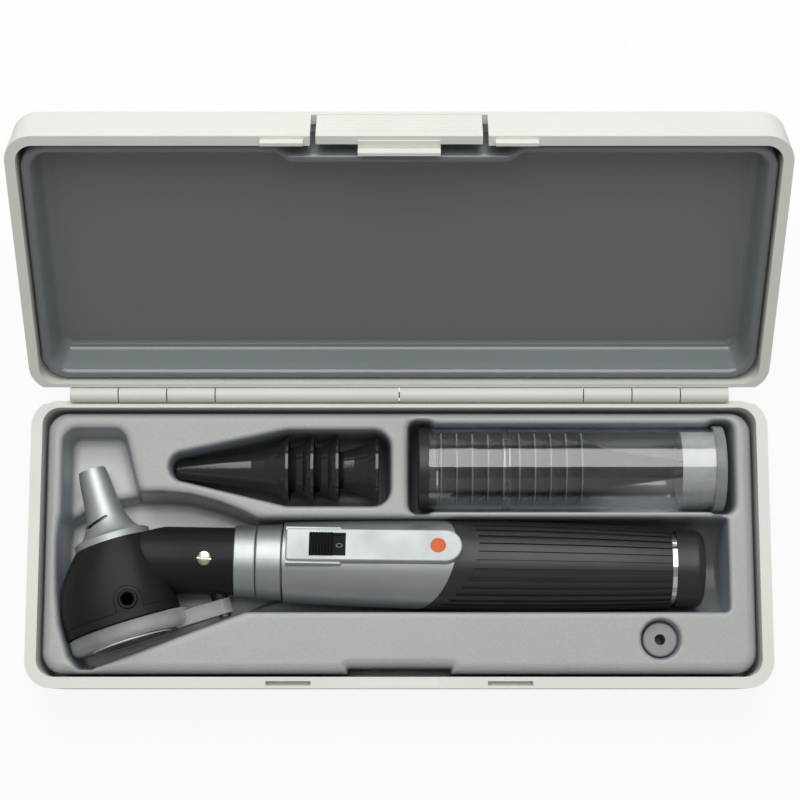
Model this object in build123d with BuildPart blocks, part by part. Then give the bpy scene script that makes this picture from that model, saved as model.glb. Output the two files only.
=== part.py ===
from build123d import *

import os
from math import copysign, cos, pi, radians, sin, tan

# Pocket otoscope set in a hinged carry case.  Millimetres, +Z up, +X to the right of
# somebody standing in front of the open case, +Y towards the hinge.  The origin is the
# centre of the base's underside.  The case is stored open, with the lid leaning back.

# Case shells
case_length = 190.0
case_depth = 73.0
base_height = 22.0
lid_height = 15.0
rim_seam = 0.2
shell_draft = 1.5
corner_radius = 7.0
inner_corner_radius = 4.5
edge_round = 2.5
base_wall = 2.9
base_back_wall = 1.0
base_floor = 1.5
lid_wall = 2.6
lid_roof = 1.8
back_swell = 1.1
hinge_step = 1.8
open_angle = 135.0

# Hinge
hinge_setback = 2.3
barrel_radius = 2.0
pin_radius = 0.8
pin_clearance = 0.05
knuckle_gap = 0.3
gusset_depth = 5.5
gusset_drop = 1.2
gusset_overlap = 0.1
gusset_reach = 1.6
knuckle_root = 0.5
heel_height = 6.2
heel_root = 1.7
heel_throat = 1.2
heel_rise = 1.3
stop_near = 1.9
stop_far = 2.9
stop_face = 0.627
heel_edge = 2.3
pin_end_gap = 0.4
hinge_half_length = 85.1
knuckle_breaks = (-85.1, -72.5, -60.0, -47.5, 0.0, 47.5, 60.0, 72.5, 85.1)
lid_knuckle_spans = (0, 2, 4, 6)
base_knuckle_spans = (1, 3, 5, 7)

# Latch and locating tabs on the front rim
tongue_half_width = 20.0
tongue_height = 11.4
tongue_thickness = 2.2
tongue_side_gap = 1.4
tongue_top_gap = 0.15
grip_line_count = 4
grip_line_depth = 0.4
hook_half_width = 9.9
hook_reach = 2.7
hook_lip = 0.6
hook_thickness = 0.8
catch_recess = 0.5
catch_ledge = 1.1
catch_width = 2.0
catch_undercut = 0.85
catch_height = 2.9
catch_side_gap = 0.3
tab_centre = 28.15
tab_width = 10.3
tab_thickness = 0.8
tab_reach = 2.0
tab_setback = 1.27
tab_slot_clearance = 0.15
tab_end_clearance = 0.55
tab_slot_depth = 2.5

# Tray pressed from sheet, standing in the base
tray_top = 21.0
tray_sheet = 0.8
tray_gap = 1.0
tray_gap_trim = 0.05
tray_corner_radius = 5.5
tray_shoulder = 1.5
well_shoulder = 0.5
tray_notch_half_width = 13.3
tray_notch_depth = 1.4
head_well_floor = 2.4
handle_well_radius = 12.1
handle_well_y = -4.95
handle_well_z = 14.7
handle_well_start = -46.0
handle_well_end = 84.4
tube_well_radius = 11.4
tube_well_y = 20.1
tube_well_z = 14.85
tube_well_floor = 2.7
tube_well_start = 5.8
tube_well_end = 82.9
ear_length = 6.9
ear_width = 24.2
ear_corner = 2.5
ear_y = 20.3
speculum_well_floor = 8.0
specula_well_floor = 3.4
stack_well_tip = -55.5
stack_well_tip_radius = 3.7
stack_well_x = -17.7
stack_well_y = 20.0
stack_well_length = 30.6
stack_well_width = 19.5
stack_well_corner = 4.5
adapter_well_floor = 7.9
adapter_ledge = 15.4
adapter_ledge_radius = 5.1
adapter_well_radius = 3.5
well_draft = 1.5

# Liner pressed from sheet, held in the lid
liner_sheet = 0.8
liner_gap = 0.6
liner_setback = 1.2
liner_bead_width = 2.6
liner_bead_depth = 3.0
liner_bead_round = 0.8
liner_dish_gap = 1.6
liner_root = 0.5
liner_slope = 12.0
liner_corner_extra = 2.5
liner_latch_corner = 0.9
liner_seat_gap = 0.1
liner_latch_half_width = 25.7
liner_latch_inset = 2.6

# Otoscope handle: its axis lies almost along the case, a fraction of a degree askew
handle_x = -30.0
handle_y = -3.9
otoscope_z = 14.7
handle_skew = -0.93
barrel_front_radius = 10.4
barrel_mid_radius = 11.6
barrel_rear_radius = 10.2
barrel_start = 0.3
barrel_mid = 49.0
barrel_end = 99.6
battery_bore_radius = 7.45
cap_thread_radius = 8.25
fit_gap = 0.05
neck_radius = 8.75
collar_front_start = -12.35
collar_front_end = -6.85
collar_rear_start = -6.7
collar_rear_end = -0.1
collar_front_radius = 9.45
collar_meeting = -10.0
collar_bore_radius = 7.95
seam_axis_x = 37.6
seam_lean = 0.6
seam_roll = 22.0
groove_count = 32
groove_width = 1.0
groove_depth = 0.4
groove_axis_x = 41.0
groove_lean = 0.8
ring_gap = 0.15
ring_radius = 9.3
ring_end = 100.9
cap_start = 101.0
cap_end = 108.2
cap_radius = 9.95
cap_round = 2.2
cap_end_wall = 1.4
cell_end_gap = 0.3
cap_spigot_start = 97.1
cap_spring_bore = 5.2
cell_radius = 7.15
cell_length = 50.5
cell_nub_radius = 2.75
cell_nub_length = 1.3
first_cell_start = 2.6
cell_round = 0.4
plate_radius = 6.0
plate_lip = 2.0
plate_start = -3.0
plate_end = 1.5
pin_contact_radius = 1.5
collar_spigot_end = 3.0

# Clip plate and slide switch on top of the handle
clip_roll = 17.5
clip_start = 1.1
clip_end = 46.0
clip_half_width = 4.37
clip_front_height = 12.3
clip_rear_height = 12.9
clip_root = 9.0
clip_corner = 0.9
clip_edge = 0.45
clip_pad_half_width = 5.0
clip_pad_end = 15.0
clip_pad_height = 11.6
switch_start = 7.0
switch_end = 16.35
switch_half_width = 3.17
switch_recess = 1.25
switch_panel_thickness = 0.4
slider_length = 6.0
slider_proud = 0.5
slider_gap = 0.05
slider_rib_count = 8
slider_rib_height = 0.3
slider_rib_share = 0.55

# Otoscope head, in its own frame: u to the right, w forwards along the speculum
flange_x = -74.33
flange_y = 1.75
head_turn = 17.5
head_front_w = -0.9
head_front_half_width = 10.1
head_front_half_height = 10.1
head_mid_w = -10.8
head_mid_u = -2.6
head_mid_half_width = 14.1
head_mid_half_height = 11.8
head_seam_w = -19.7
head_seam_u = -3.0
head_seam_half_width = 14.8
head_seam_half_height = 12.0
head_rear_w = -21.9
head_squareness = 2.5
head_oval_points = 24
port_u = 0.6
port_w = -17.0
port_radius = 2.5
port_bore_radius = 1.65
port_tab_radius = 3.45
port_floor_height = 7.7
port_tab_height = 8.7
port_top_height = 12.3
port_round = 0.3
seam_gap = 0.1
window_front_w = -22.2
window_rear_w = -26.6
window_u = -2.25
window_half_width = 15.65
window_half_height = 11.6
lens_radius = 10.4
pivot_u = 22.3
pivot_eye_radius = 2.4
pivot_pin_radius = 0.8
pivot_pin_front = -18.5
pivot_boss_radius = 2.2
pivot_boss_start = -20.0
pivot_boss_length = 3.0
pivot_head_radius = 1.5
pivot_head_length = 0.6

# Lamp module, neck screw and speculum holder
led_start = -30.0
led_radius = 5.0
led_round = 2.0
screw_x = -19.84
screw_foot_gap = 0.4
screw_slot_width = 0.6
screw_slot_depth = 0.45
screw_slot_turn = -8.0
screw_head_radius = 1.9
screw_head_height = 1.0
screw_shank_radius = 1.0
holder_flange_radius = 9.93
holder_flange_bore = 6.8
holder_tip_w = 19.2
holder_tip_radius = 3.5
holder_wall = 0.8
bayonet_u = -2.4
bayonet_w = 5.05
bayonet_length = 7.0
bayonet_width = 0.9
bayonet_angle = 13.5

# Clear tube of disposable specula
tube_y = 20.5
tube_z = 14.2
tube_radius = 10.6
tube_bore_radius = 9.8
tube_start = 7.6
tube_end = 81.3
tube_cap_start = 4.9
tube_cap_radius = 10.85
plug_flange_radius = 11.2
plug_end = 84.1
plug_insert_start = 72.8
plug_insert_wall = 1.2
disposable_count = 10
disposable_pitch = 4.03
disposable_lead_flange = 46.8
disposable_length = 28.0
disposable_wall = 0.35

# Stack of reusable specula
stack_y = 20.4
stack_z = 12.7
stack_flanges = (-28.7, -22.2, -15.7, -5.4)
reusable_length = 29.3
reusable_wall = 0.5

# Nozzle adapter for the air bulb
adapter_x = 66.6
adapter_y = -24.0
adapter_disc_radius = 4.4
adapter_disc_thickness = 2.5
adapter_nozzle_radius = 3.0
adapter_bore_radius = 1.4
adapter_bottom = 8.2
adapter_top = 18.2

# Places worked out from the dimensions above
half_length = case_length / 2
front_y = -case_depth / 2
rim_back_y = case_depth / 2
back_y = rim_back_y + back_swell
hinge_y = rim_back_y + hinge_setback
hinge_z = base_height + rim_seam / 2
lid_rim = rim_seam / 2
gusset_top = base_height - gusset_drop
tilt = radians(open_angle)

# The lid's frame: its origin is on the hinge axis, local x runs along the hinge, local y
# towards the back of the closed lid and local z up out of the closed rim.
lid_plane = Plane(
    origin=(0, hinge_y, hinge_z), x_dir=(1, 0, 0), z_dir=(0, sin(tilt), cos(tilt))
)
lid_side = Plane(origin=lid_plane.origin, x_dir=lid_plane.y_dir, z_dir=lid_plane.x_dir)
lid_up = Axis(lid_plane.origin, lid_plane.z_dir)

# The handle's frame: x along the axis towards the end cap, profiles drawn above it.
skew = radians(handle_skew)
handle_dir = Vector(cos(skew), sin(skew), 0)
handle_side = Vector(-sin(skew), cos(skew), 0)
handle_origin = Vector(handle_x, handle_y, otoscope_z)
handle_plane = Plane(origin=handle_origin, x_dir=handle_dir, z_dir=-handle_side)
handle_axis = Axis(handle_origin, handle_dir)

# The head's frame: profiles along the speculum, sections across it.
turn = radians(head_turn)
head_forward = Vector(-sin(turn), cos(turn), 0)
head_right = Vector(cos(turn), sin(turn), 0)
head_origin = Vector(flange_x, flange_y, otoscope_z)
head_profile = Plane(
    origin=head_origin, x_dir=head_forward, z_dir=head_forward.cross(Vector(0, 0, 1))
)
head_axis = Axis(head_origin, head_forward)


def head_section(w):
    """Plane across the head at w, with local x to the right and local y up."""
    return Plane(origin=head_origin + head_forward * w, x_dir=head_right, z_dir=-head_forward)


def handle_section(x, roll=0.0):
    """Plane across the handle at x, with local x up, rolled towards the hinge side."""
    up = Vector(0, 0, 1) * cos(radians(roll)) + handle_side * sin(radians(roll))
    return Plane(origin=handle_origin + handle_dir * x, x_dir=up, z_dir=handle_dir)


def save(piece, label):
    """Label a finished piece and write its file."""
    piece.part.label = label
    export_step(piece.part, f"parts/{label}.step")


os.makedirs("parts", exist_ok=True)

# ---------------------------------------------------------------- base shell
cavity_length = case_length - 2 * base_wall
cavity_front = front_y + base_wall
cavity_back = rim_back_y - base_back_wall
catch_back = cavity_front - catch_width
catch_top = base_height - catch_recess - catch_ledge
catch_bottom = catch_top - catch_height
undercut_front = cavity_front - catch_undercut

with BuildPart() as base_shell:
    with BuildSketch(Plane.XY.offset(base_height)):
        with Locations((0, back_swell / 2)):
            RectangleRounded(case_length, case_depth + back_swell, corner_radius)
    extrude(amount=-base_height, taper=shell_draft)
    fillet(base_shell.faces().sort_by(Axis.Z)[0].edges(), edge_round)
    with BuildSketch(Plane.XY.offset(base_height)):
        with Locations((0, (cavity_front + cavity_back) / 2)):
            RectangleRounded(cavity_length, cavity_back - cavity_front, inner_corner_radius)
    extrude(amount=-(base_height - base_floor), taper=shell_draft, mode=Mode.SUBTRACT)
    # Step behind the rim that leaves the barrels free
    with BuildSketch(Plane.XY.offset(base_height)):
        with Locations((0, rim_back_y + back_swell)):
            Rectangle(case_length, 2 * back_swell)
    extrude(amount=-hinge_step, mode=Mode.SUBTRACT)
    # Knuckles on gussets that rise from the back wall
    for span in base_knuckle_spans:
        knuckle_start = knuckle_breaks[span] + knuckle_gap / 2
        knuckle_end = knuckle_breaks[span + 1] - knuckle_gap / 2
        with BuildSketch(Plane.YZ.offset(knuckle_start)):
            with Locations((hinge_y, hinge_z)):
                Circle(barrel_radius)
            with BuildLine():
                Polyline(
                    (back_y - knuckle_root, base_height - gusset_depth),
                    (back_y - knuckle_root, base_height - hinge_step + gusset_overlap),
                    (back_y, gusset_top),
                    (hinge_y + gusset_reach, gusset_top + gusset_overlap),
                    close=True,
                )
            make_face()
        extrude(amount=knuckle_end - knuckle_start)
    with BuildSketch(Plane.YZ.offset(-hinge_half_length)):
        with Locations((hinge_y, hinge_z)):
            Circle(pin_radius + pin_clearance)
    extrude(amount=2 * hinge_half_length, mode=Mode.SUBTRACT)
    # Slots for the lid's two tabs
    with BuildSketch(Plane.XY.offset(base_height)):
        with Locations((-tab_centre, front_y + tab_setback), (tab_centre, front_y + tab_setback)):
            Rectangle(
                tab_width + 2 * tab_end_clearance, tab_thickness + 2 * tab_slot_clearance
            )
    extrude(amount=-tab_slot_depth, mode=Mode.SUBTRACT)
    # Low ledge and undercut that hold the latch hook
    with BuildSketch(Plane.YZ.offset(-hook_half_width - catch_side_gap)):
        with BuildLine():
            Polyline(
                (cavity_front + 1, base_height),
                (catch_back, base_height),
                (catch_back, base_height - catch_recess),
                (cavity_front + 1, base_height - catch_recess),
                close=True,
            )
        make_face()
        with BuildLine():
            Polyline(
                (cavity_front + 1, catch_top),
                (undercut_front, catch_top),
                (undercut_front, catch_top - 1.6),
                (cavity_front + 1, catch_bottom),
                close=True,
            )
        make_face()
    extrude(amount=2 * (hook_half_width + catch_side_gap), mode=Mode.SUBTRACT)
save(base_shell, "base_shell")

with BuildPart() as hinge_pin:
    with BuildSketch(Plane.YZ.offset(-hinge_half_length + pin_end_gap)):
        with Locations((hinge_y, hinge_z)):
            Circle(pin_radius)
    extrude(amount=2 * (hinge_half_length - pin_end_gap))
save(hinge_pin, "hinge_pin")

# ---------------------------------------------------------------- tray
tray_half_length = half_length - base_wall - tray_gap
tray_front = cavity_front + tray_gap - tray_gap_trim
tray_back = cavity_back - tray_gap + 2 * tray_gap_trim


def tray_block(inset, top):
    """Solid under the tray's skin, inset from its outer skirt."""
    with BuildPart() as block:
        with BuildSketch(Plane.XY.offset(top)):
            with Locations((0, (tray_front + tray_back) / 2)):
                RectangleRounded(
                    2 * (tray_half_length - inset),
                    tray_back - tray_front - 2 * inset,
                    tray_corner_radius - inset,
                )
            with Locations((0, tray_front)):
                Rectangle(
                    2 * (tray_notch_half_width + inset),
                    2 * (tray_notch_depth + inset),
                    mode=Mode.SUBTRACT,
                )
        extrude(amount=-(top - base_floor))
    return block.part


def head_outline():
    """Outline of the well around the otoscope's head."""
    with BuildSketch() as outline:
        with BuildLine():
            ThreePointArc((-86.4, 6.6), (-61.0, 13.0), (-37.0, 6.2))
            Line((-37.0, 6.2), (-28.0, -15.0))
            Line((-28.0, -15.0), (-84.1, -33.6))
            ThreePointArc((-84.1, -33.6), (-88.2, -8.0), (-86.4, 6.6))
        make_face()
        fillet(outline.vertices().group_by(Axis.Y)[0], 5.0)
    return outline.sketch


def speculum_outline():
    """Outline of the shallower well around the speculum."""
    with BuildSketch() as outline:
        with BuildLine():
            Polyline((-86.8, 3.0), (-86.8, 30.2), (-71.0, 30.2), (-63.8, 3.0), close=True)
        make_face()
        fillet(outline.vertices().group_by(Axis.Y)[-1], 3.6)
    return outline.sketch


def trough(start, end, centre_y, centre_z, radius):
    """Half-round trough with upright sides, open at the top."""
    side_height = tray_top + 1 - centre_z
    with BuildPart() as half_round:
        with BuildSketch(Plane.YZ.offset(start)):
            with BuildLine():
                ThreePointArc(
                    (centre_y - radius, centre_z),
                    (centre_y, centre_z - radius),
                    (centre_y + radius, centre_z),
                )
                Polyline(
                    (centre_y + radius, centre_z),
                    (centre_y + radius, centre_z + side_height),
                    (centre_y - radius, centre_z + side_height),
                    (centre_y - radius, centre_z),
                )
            make_face()
        extrude(amount=end - start)
    return half_round.part


def tray_wells(grow):
    """The separate wells of the tray, each grown outwards by a sheet's thickness."""
    lip = tray_top + 1
    # The otoscope's well: head, speculum and the trough under the handle
    with BuildPart() as otoscope_well:
        with BuildSketch(Plane.XY.offset(head_well_floor - grow)):
            add(head_outline())
            offset(amount=grow)
        extrude(amount=lip - head_well_floor + grow)
        with BuildSketch(Plane.XY.offset(speculum_well_floor - grow)):
            add(speculum_outline())
            offset(amount=grow)
        extrude(amount=lip - speculum_well_floor + grow)
        add(
            trough(
                handle_well_start - grow,
                handle_well_end + grow,
                handle_well_y,
                handle_well_z,
                handle_well_radius + grow,
            )
        )
    # Well of the stacked specula
    with BuildPart() as stack_well:
        with BuildSketch(Plane.XY.offset(lip)):
            with Locations((stack_well_tip, stack_y)):
                Circle(stack_well_tip_radius)
            with Locations((stack_well_x, stack_well_y)):
                RectangleRounded(stack_well_length, stack_well_width, stack_well_corner)
            make_hull()
            offset(amount=grow)
        extrude(amount=-(lip - specula_well_floor + grow), taper=well_draft)
    # Well of the clear tube, wider at each end for its caps
    with BuildPart() as tube_well:
        with BuildSketch(Plane.XY.offset(tube_well_floor - grow)):
            with Locations((tube_well_start, ear_y), (tube_well_end, ear_y)):
                RectangleRounded(
                    ear_length + 2 * grow, ear_width + 2 * grow, ear_corner + grow
                )
        extrude(amount=lip - tube_well_floor + grow)
        add(
            trough(
                tube_well_start,
                tube_well_end,
                tube_well_y,
                tube_well_z,
                tube_well_radius + grow,
            )
        )
    # Round well of the adapter, with a ledge under its disc
    with BuildPart() as adapter_well:
        with BuildSketch(Plane.XY.offset(lip)):
            with Locations((adapter_x, adapter_y)):
                Circle(adapter_ledge_radius + grow)
        extrude(amount=-(lip - adapter_ledge + grow))
        with BuildSketch(Plane.XY.offset(lip)):
            with Locations((adapter_x, adapter_y)):
                Circle(adapter_well_radius + grow)
        extrude(amount=-(lip - adapter_well_floor + grow))
    return [otoscope_well.part, stack_well.part, tube_well.part, adapter_well.part]


with BuildPart() as tray_core:
    add(tray_block(tray_sheet, tray_top - tray_sheet))
    for well in tray_wells(tray_sheet):
        add(well, mode=Mode.SUBTRACT)

with BuildPart() as tray_insert:
    add(tray_block(0, tray_top))
    fillet(tray_insert.faces().sort_by(Axis.Z)[-1].edges(), tray_shoulder)
    for well in tray_wells(0):
        add(well, mode=Mode.SUBTRACT)
    land = tray_insert.faces().filter_by(Axis.Z).sort_by(Axis.Z)[-1]
    fillet([edge for wire in land.inner_wires() for edge in wire.edges()], well_shoulder)
    add(tray_core.part, mode=Mode.SUBTRACT)
save(tray_insert, "tray_insert")

# ---------------------------------------------------------------- lid shell
lid_inner_half = half_length - lid_wall
lid_inner_front = front_y + lid_wall
lid_inner_back = rim_back_y - base_back_wall
draft_slope = tan(radians(shell_draft))

with BuildPart() as lid_shell:
    with BuildSketch(lid_plane.offset(lid_rim)):
        with Locations((0, back_swell / 2 - hinge_y)):
            RectangleRounded(case_length, case_depth + back_swell, corner_radius)
    extrude(amount=lid_height, taper=shell_draft)
    fillet(lid_shell.faces().sort_by(lid_up)[-1].edges(), edge_round)
    with BuildSketch(lid_plane.offset(lid_rim)):
        with Locations((0, (lid_inner_front + lid_inner_back) / 2 - hinge_y)):
            RectangleRounded(
                2 * lid_inner_half, lid_inner_back - lid_inner_front, inner_corner_radius
            )
    extrude(amount=lid_height - lid_roof, taper=shell_draft, mode=Mode.SUBTRACT)
    with BuildSketch(lid_plane.offset(lid_rim)):
        with Locations((0, rim_back_y + back_swell - hinge_y)):
            Rectangle(case_length, 2 * back_swell)
    extrude(amount=hinge_step, mode=Mode.SUBTRACT)
    # Opening around the springy latch tongue
    with BuildSketch(lid_plane.offset(lid_rim)):
        with Locations((0, front_y - hinge_y)):
            Rectangle(2 * (tongue_half_width + tongue_side_gap), 4 * lid_wall)
    extrude(amount=tongue_height + tongue_top_gap, mode=Mode.SUBTRACT)
    # Knuckles with heels that stop the open lid against the base's back wall
    for span in lid_knuckle_spans:
        knuckle_start = knuckle_breaks[span] + knuckle_gap / 2
        knuckle_end = knuckle_breaks[span + 1] - knuckle_gap / 2
        with BuildSketch(lid_side.offset(knuckle_start)):
            Circle(barrel_radius)
            with BuildLine():
                Polyline(
                    (-heel_root, heel_height),
                    (-heel_root, hinge_step),
                    (-heel_throat, heel_rise),
                    (stop_near, stop_face),
                    (stop_far, stop_face + stop_far - stop_near),
                    (stop_far, heel_edge),
                    close=True,
                )
            make_face()
        extrude(amount=knuckle_end - knuckle_start)
    with BuildSketch(lid_side.offset(-hinge_half_length)):
        Circle(pin_radius + pin_clearance)
    extrude(amount=2 * hinge_half_length, mode=Mode.SUBTRACT)
    # Tabs that enter the slots in the base's rim
    with BuildSketch(lid_plane.offset(lid_rim + 1)):
        with Locations(
            (-tab_centre, front_y + tab_setback - hinge_y),
            (tab_centre, front_y + tab_setback - hinge_y),
        ):
            Rectangle(tab_width, tab_thickness)
    extrude(amount=-(tab_reach + 1))
save(lid_shell, "lid_shell")

# The latch tongue: front face, raised grip lines and the hook below the rim
tongue_front = front_y - hinge_y
tongue_back = tongue_front + tongue_thickness
hook_back = cavity_front + 1.05 - hinge_y
hook_front = hook_back - hook_thickness
hook_foot = lid_rim - hook_reach

with BuildPart() as latch_tongue:
    with BuildSketch(lid_side.offset(-tongue_half_width)):
        with BuildLine():
            Polyline(
                (tongue_front, lid_rim),
                (tongue_back, lid_rim),
                (tongue_back + tongue_height * draft_slope, lid_rim + tongue_height),
                (tongue_front + tongue_height * draft_slope, lid_rim + tongue_height),
                close=True,
            )
        make_face()
    extrude(amount=2 * tongue_half_width)
    with BuildSketch(lid_side.offset(-hook_half_width)):
        with BuildLine():
            Polyline(
                (tongue_front + 1.1, lid_rim + 0.5),
                (tongue_front + 1.1, lid_rim - 0.4),
                (hook_front, lid_rim - 0.4),
                (hook_front, hook_foot + 0.9),
                (hook_front - hook_lip, hook_foot + 0.8),
                (hook_front - hook_lip, hook_foot + 0.5),
                (hook_front, hook_foot),
                (hook_back, hook_foot),
                (hook_back, lid_rim + 0.5),
                close=True,
            )
        make_face()
    extrude(amount=2 * hook_half_width)
    for line in range(grip_line_count):
        line_z = lid_rim + 2.4 + 1.7 * line
        line_y = tongue_front + (line_z - lid_rim) * draft_slope
        with BuildSketch(lid_side.offset(-tongue_half_width + 1.5)):
            with BuildLine():
                Polyline(
                    (line_y + 0.2, line_z - 0.4),
                    (line_y - grip_line_depth, line_z),
                    (line_y + 0.2, line_z + 0.4),
                    close=True,
                )
            make_face()
        extrude(amount=2 * (tongue_half_width - 1.5))
save(latch_tongue, "latch_tongue")

# ---------------------------------------------------------------- lid liner
liner_rim = lid_rim + liner_setback
liner_top = lid_rim + lid_height - lid_roof - liner_seat_gap


def liner_outline(inset, latch_inset):
    """Outline of the liner, inset from the lid's inner walls, relieved around the latch."""
    with BuildSketch() as outline:
        with Locations((0, (lid_inner_front + lid_inner_back) / 2 - hinge_y)):
            RectangleRounded(
                2 * (lid_inner_half - inset),
                lid_inner_back - lid_inner_front - 2 * inset,
                inner_corner_radius + liner_corner_extra,
            )
        with Locations((0, lid_inner_front - hinge_y)):
            Rectangle(
                2 * (liner_latch_half_width + latch_inset),
                2 * (inset + liner_latch_inset),
                mode=Mode.SUBTRACT,
            )
        reach = liner_latch_half_width + latch_inset + inner_corner_radius
        corners = outline.vertices().filter_by_position(Axis.X, -reach, reach)
        fillet(corners, liner_latch_corner)
    return outline.sketch


with BuildPart() as lid_liner:
    # Rounded bead along the rim
    with BuildSketch(lid_plane.offset(liner_rim)):
        add(liner_outline(liner_gap, 0.0))
    extrude(amount=liner_bead_depth)
    fillet(lid_liner.faces().sort_by(lid_up)[0].edges(), liner_bead_round)
    # Sloping wall and floor of the dish
    with BuildSketch(lid_plane.offset(liner_rim + liner_root)):
        with Locations((0, (lid_inner_front + lid_inner_back) / 2 - hinge_y)):
            RectangleRounded(
                2 * (lid_inner_half - liner_dish_gap),
                lid_inner_back - lid_inner_front - 2 * (liner_dish_gap + liner_latch_inset),
                inner_corner_radius + liner_corner_extra + 1.0,
            )
    extrude(amount=liner_top - liner_rim - liner_root, taper=liner_slope)
    with BuildSketch(lid_plane.offset(liner_rim)):
        with Locations((0, (lid_inner_front + lid_inner_back) / 2 - hinge_y)):
            RectangleRounded(
                2 * (lid_inner_half - liner_gap - liner_bead_width),
                lid_inner_back
                - lid_inner_front
                - 2 * (liner_gap + liner_bead_width)
                - 2 * liner_latch_inset,
                inner_corner_radius + liner_corner_extra,
            )
    extrude(amount=liner_top - liner_rim - liner_sheet, taper=liner_slope, mode=Mode.SUBTRACT)
save(lid_liner, "lid_liner")

# ---------------------------------------------------------------- otoscope handle
spigot_radius = cap_thread_radius - fit_gap
collar_spigot_radius = collar_bore_radius - fit_gap


def revolved_ring(start, end, outer, inner):
    """Plain ring or disc on the handle's axis."""
    with BuildPart() as ring:
        with BuildSketch(handle_section(start)):
            Circle(outer)
            if inner > 0:
                Circle(inner, mode=Mode.SUBTRACT)
        extrude(amount=end - start)
    return ring.part


def barrel_solid(depth):
    """The swelling barrel as a solid bar, reduced by a depth all round."""
    with BuildPart() as bar:
        with BuildSketch(handle_plane):
            with BuildLine():
                ThreePointArc(
                    (barrel_start, barrel_front_radius - depth),
                    (barrel_mid, barrel_mid_radius - depth),
                    (barrel_end, barrel_rear_radius - depth),
                )
                Polyline(
                    (barrel_end, barrel_rear_radius - depth),
                    (barrel_end, 0),
                    (barrel_start, 0),
                    (barrel_start, barrel_front_radius - depth),
                )
            make_face()
        revolve(axis=handle_axis)
    return bar.part


def leaning_plane(axis_x, lean):
    """Plane across the barrel that leans forwards on the rolled side."""
    rolled_up = Vector(0, 0, 1) * cos(radians(seam_roll)) + handle_side * sin(radians(seam_roll))
    normal = handle_dir - rolled_up * lean
    return Plane(origin=handle_origin + handle_dir * axis_x, z_dir=normal)


seam_plane = leaning_plane(seam_axis_x, seam_lean)
cap_counterbore_start = cap_spigot_start - 0.2

with BuildPart() as handle_body:
    add(barrel_solid(0))
    split(bisect_by=seam_plane, keep=Keep.BOTTOM)
    with BuildSketch(handle_section(barrel_start)):
        Circle(battery_bore_radius)
    extrude(amount=barrel_end, mode=Mode.SUBTRACT)
    with BuildSketch(handle_section(barrel_start)):
        Circle(cap_thread_radius)
    extrude(amount=collar_spigot_end, mode=Mode.SUBTRACT)
save(handle_body, "handle_body")

with BuildPart() as groove_floor:
    add(barrel_solid(groove_depth))

with BuildPart() as groove_cutters:
    for groove in range(groove_count):
        angle = groove * 360.0 / groove_count
        groove_reach = groove_lean * barrel_mid_radius
        groove_start = groove_axis_x + groove_reach * cos(radians(angle - seam_roll))
        with BuildSketch(handle_section(groove_start, angle)):
            with Locations((barrel_mid_radius, 0)):
                Rectangle(4.0, groove_width)
        extrude(amount=barrel_end + 1 - groove_start)
    add(groove_floor.part, mode=Mode.SUBTRACT)

with BuildPart() as handle_grip:
    add(barrel_solid(0))
    split(bisect_by=seam_plane, keep=Keep.TOP)
    add(groove_cutters.part, mode=Mode.SUBTRACT)
    with BuildSketch(handle_section(barrel_start)):
        Circle(battery_bore_radius)
    extrude(amount=barrel_end, mode=Mode.SUBTRACT)
    with BuildSketch(handle_section(cap_counterbore_start)):
        Circle(cap_thread_radius)
    extrude(amount=barrel_end - cap_counterbore_start, mode=Mode.SUBTRACT)
save(handle_grip, "handle_grip")

# Two metal collars between the neck and the barrel
with BuildPart() as collar_front:
    add(revolved_ring(collar_front_start, collar_front_end, collar_front_radius, collar_bore_radius))
    fillet(collar_front.edges().filter_by(GeomType.CIRCLE).sort_by(SortBy.RADIUS)[-2:], 0.35)
save(collar_front, "collar_front")

with BuildPart() as collar_rear:
    with BuildSketch(handle_plane):
        with BuildLine():
            Polyline(
                (collar_meeting, plate_radius - plate_lip),
                (collar_meeting, collar_spigot_radius),
                (collar_rear_start, collar_spigot_radius),
                (collar_rear_start, 9.3),
                (collar_rear_start + 0.3, 9.55),
                (collar_rear_end - 0.3, 9.85),
                (collar_rear_end, 9.6),
                (collar_rear_end, spigot_radius),
                (collar_spigot_end, spigot_radius),
                (collar_spigot_end, plate_radius),
                (plate_start, plate_radius),
                (plate_start, plate_radius - plate_lip),
                close=True,
            )
        make_face()
    revolve(axis=handle_axis)
save(collar_rear, "collar_rear")

with BuildPart() as contact_plate:
    add(revolved_ring(plate_start, plate_end, plate_radius - fit_gap, 0))
save(contact_plate, "contact_plate")

with BuildPart() as contact_pin:
    add(revolved_ring(plate_end, first_cell_start - 2 * fit_gap, pin_contact_radius, 0))
save(contact_pin, "contact_pin")

# Two AA cells end to end
for index, name in enumerate(("battery_front", "battery_rear")):
    cell_start = first_cell_start + index * (cell_length + fit_gap)
    with BuildPart() as battery:
        add(revolved_ring(cell_start, cell_start + cell_nub_length, cell_nub_radius, 0))
        add(revolved_ring(cell_start + cell_nub_length, cell_start + cell_length, cell_radius, 0))
        fillet(battery.edges().filter_by(GeomType.CIRCLE).sort_by(SortBy.RADIUS)[-2:], cell_round)
    save(battery, name)
cells_end = first_cell_start + 2 * cell_length + fit_gap

with BuildPart() as grip_ring:
    add(revolved_ring(barrel_end + ring_gap, ring_end, ring_radius, cap_thread_radius))
save(grip_ring, "grip_ring")

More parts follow.
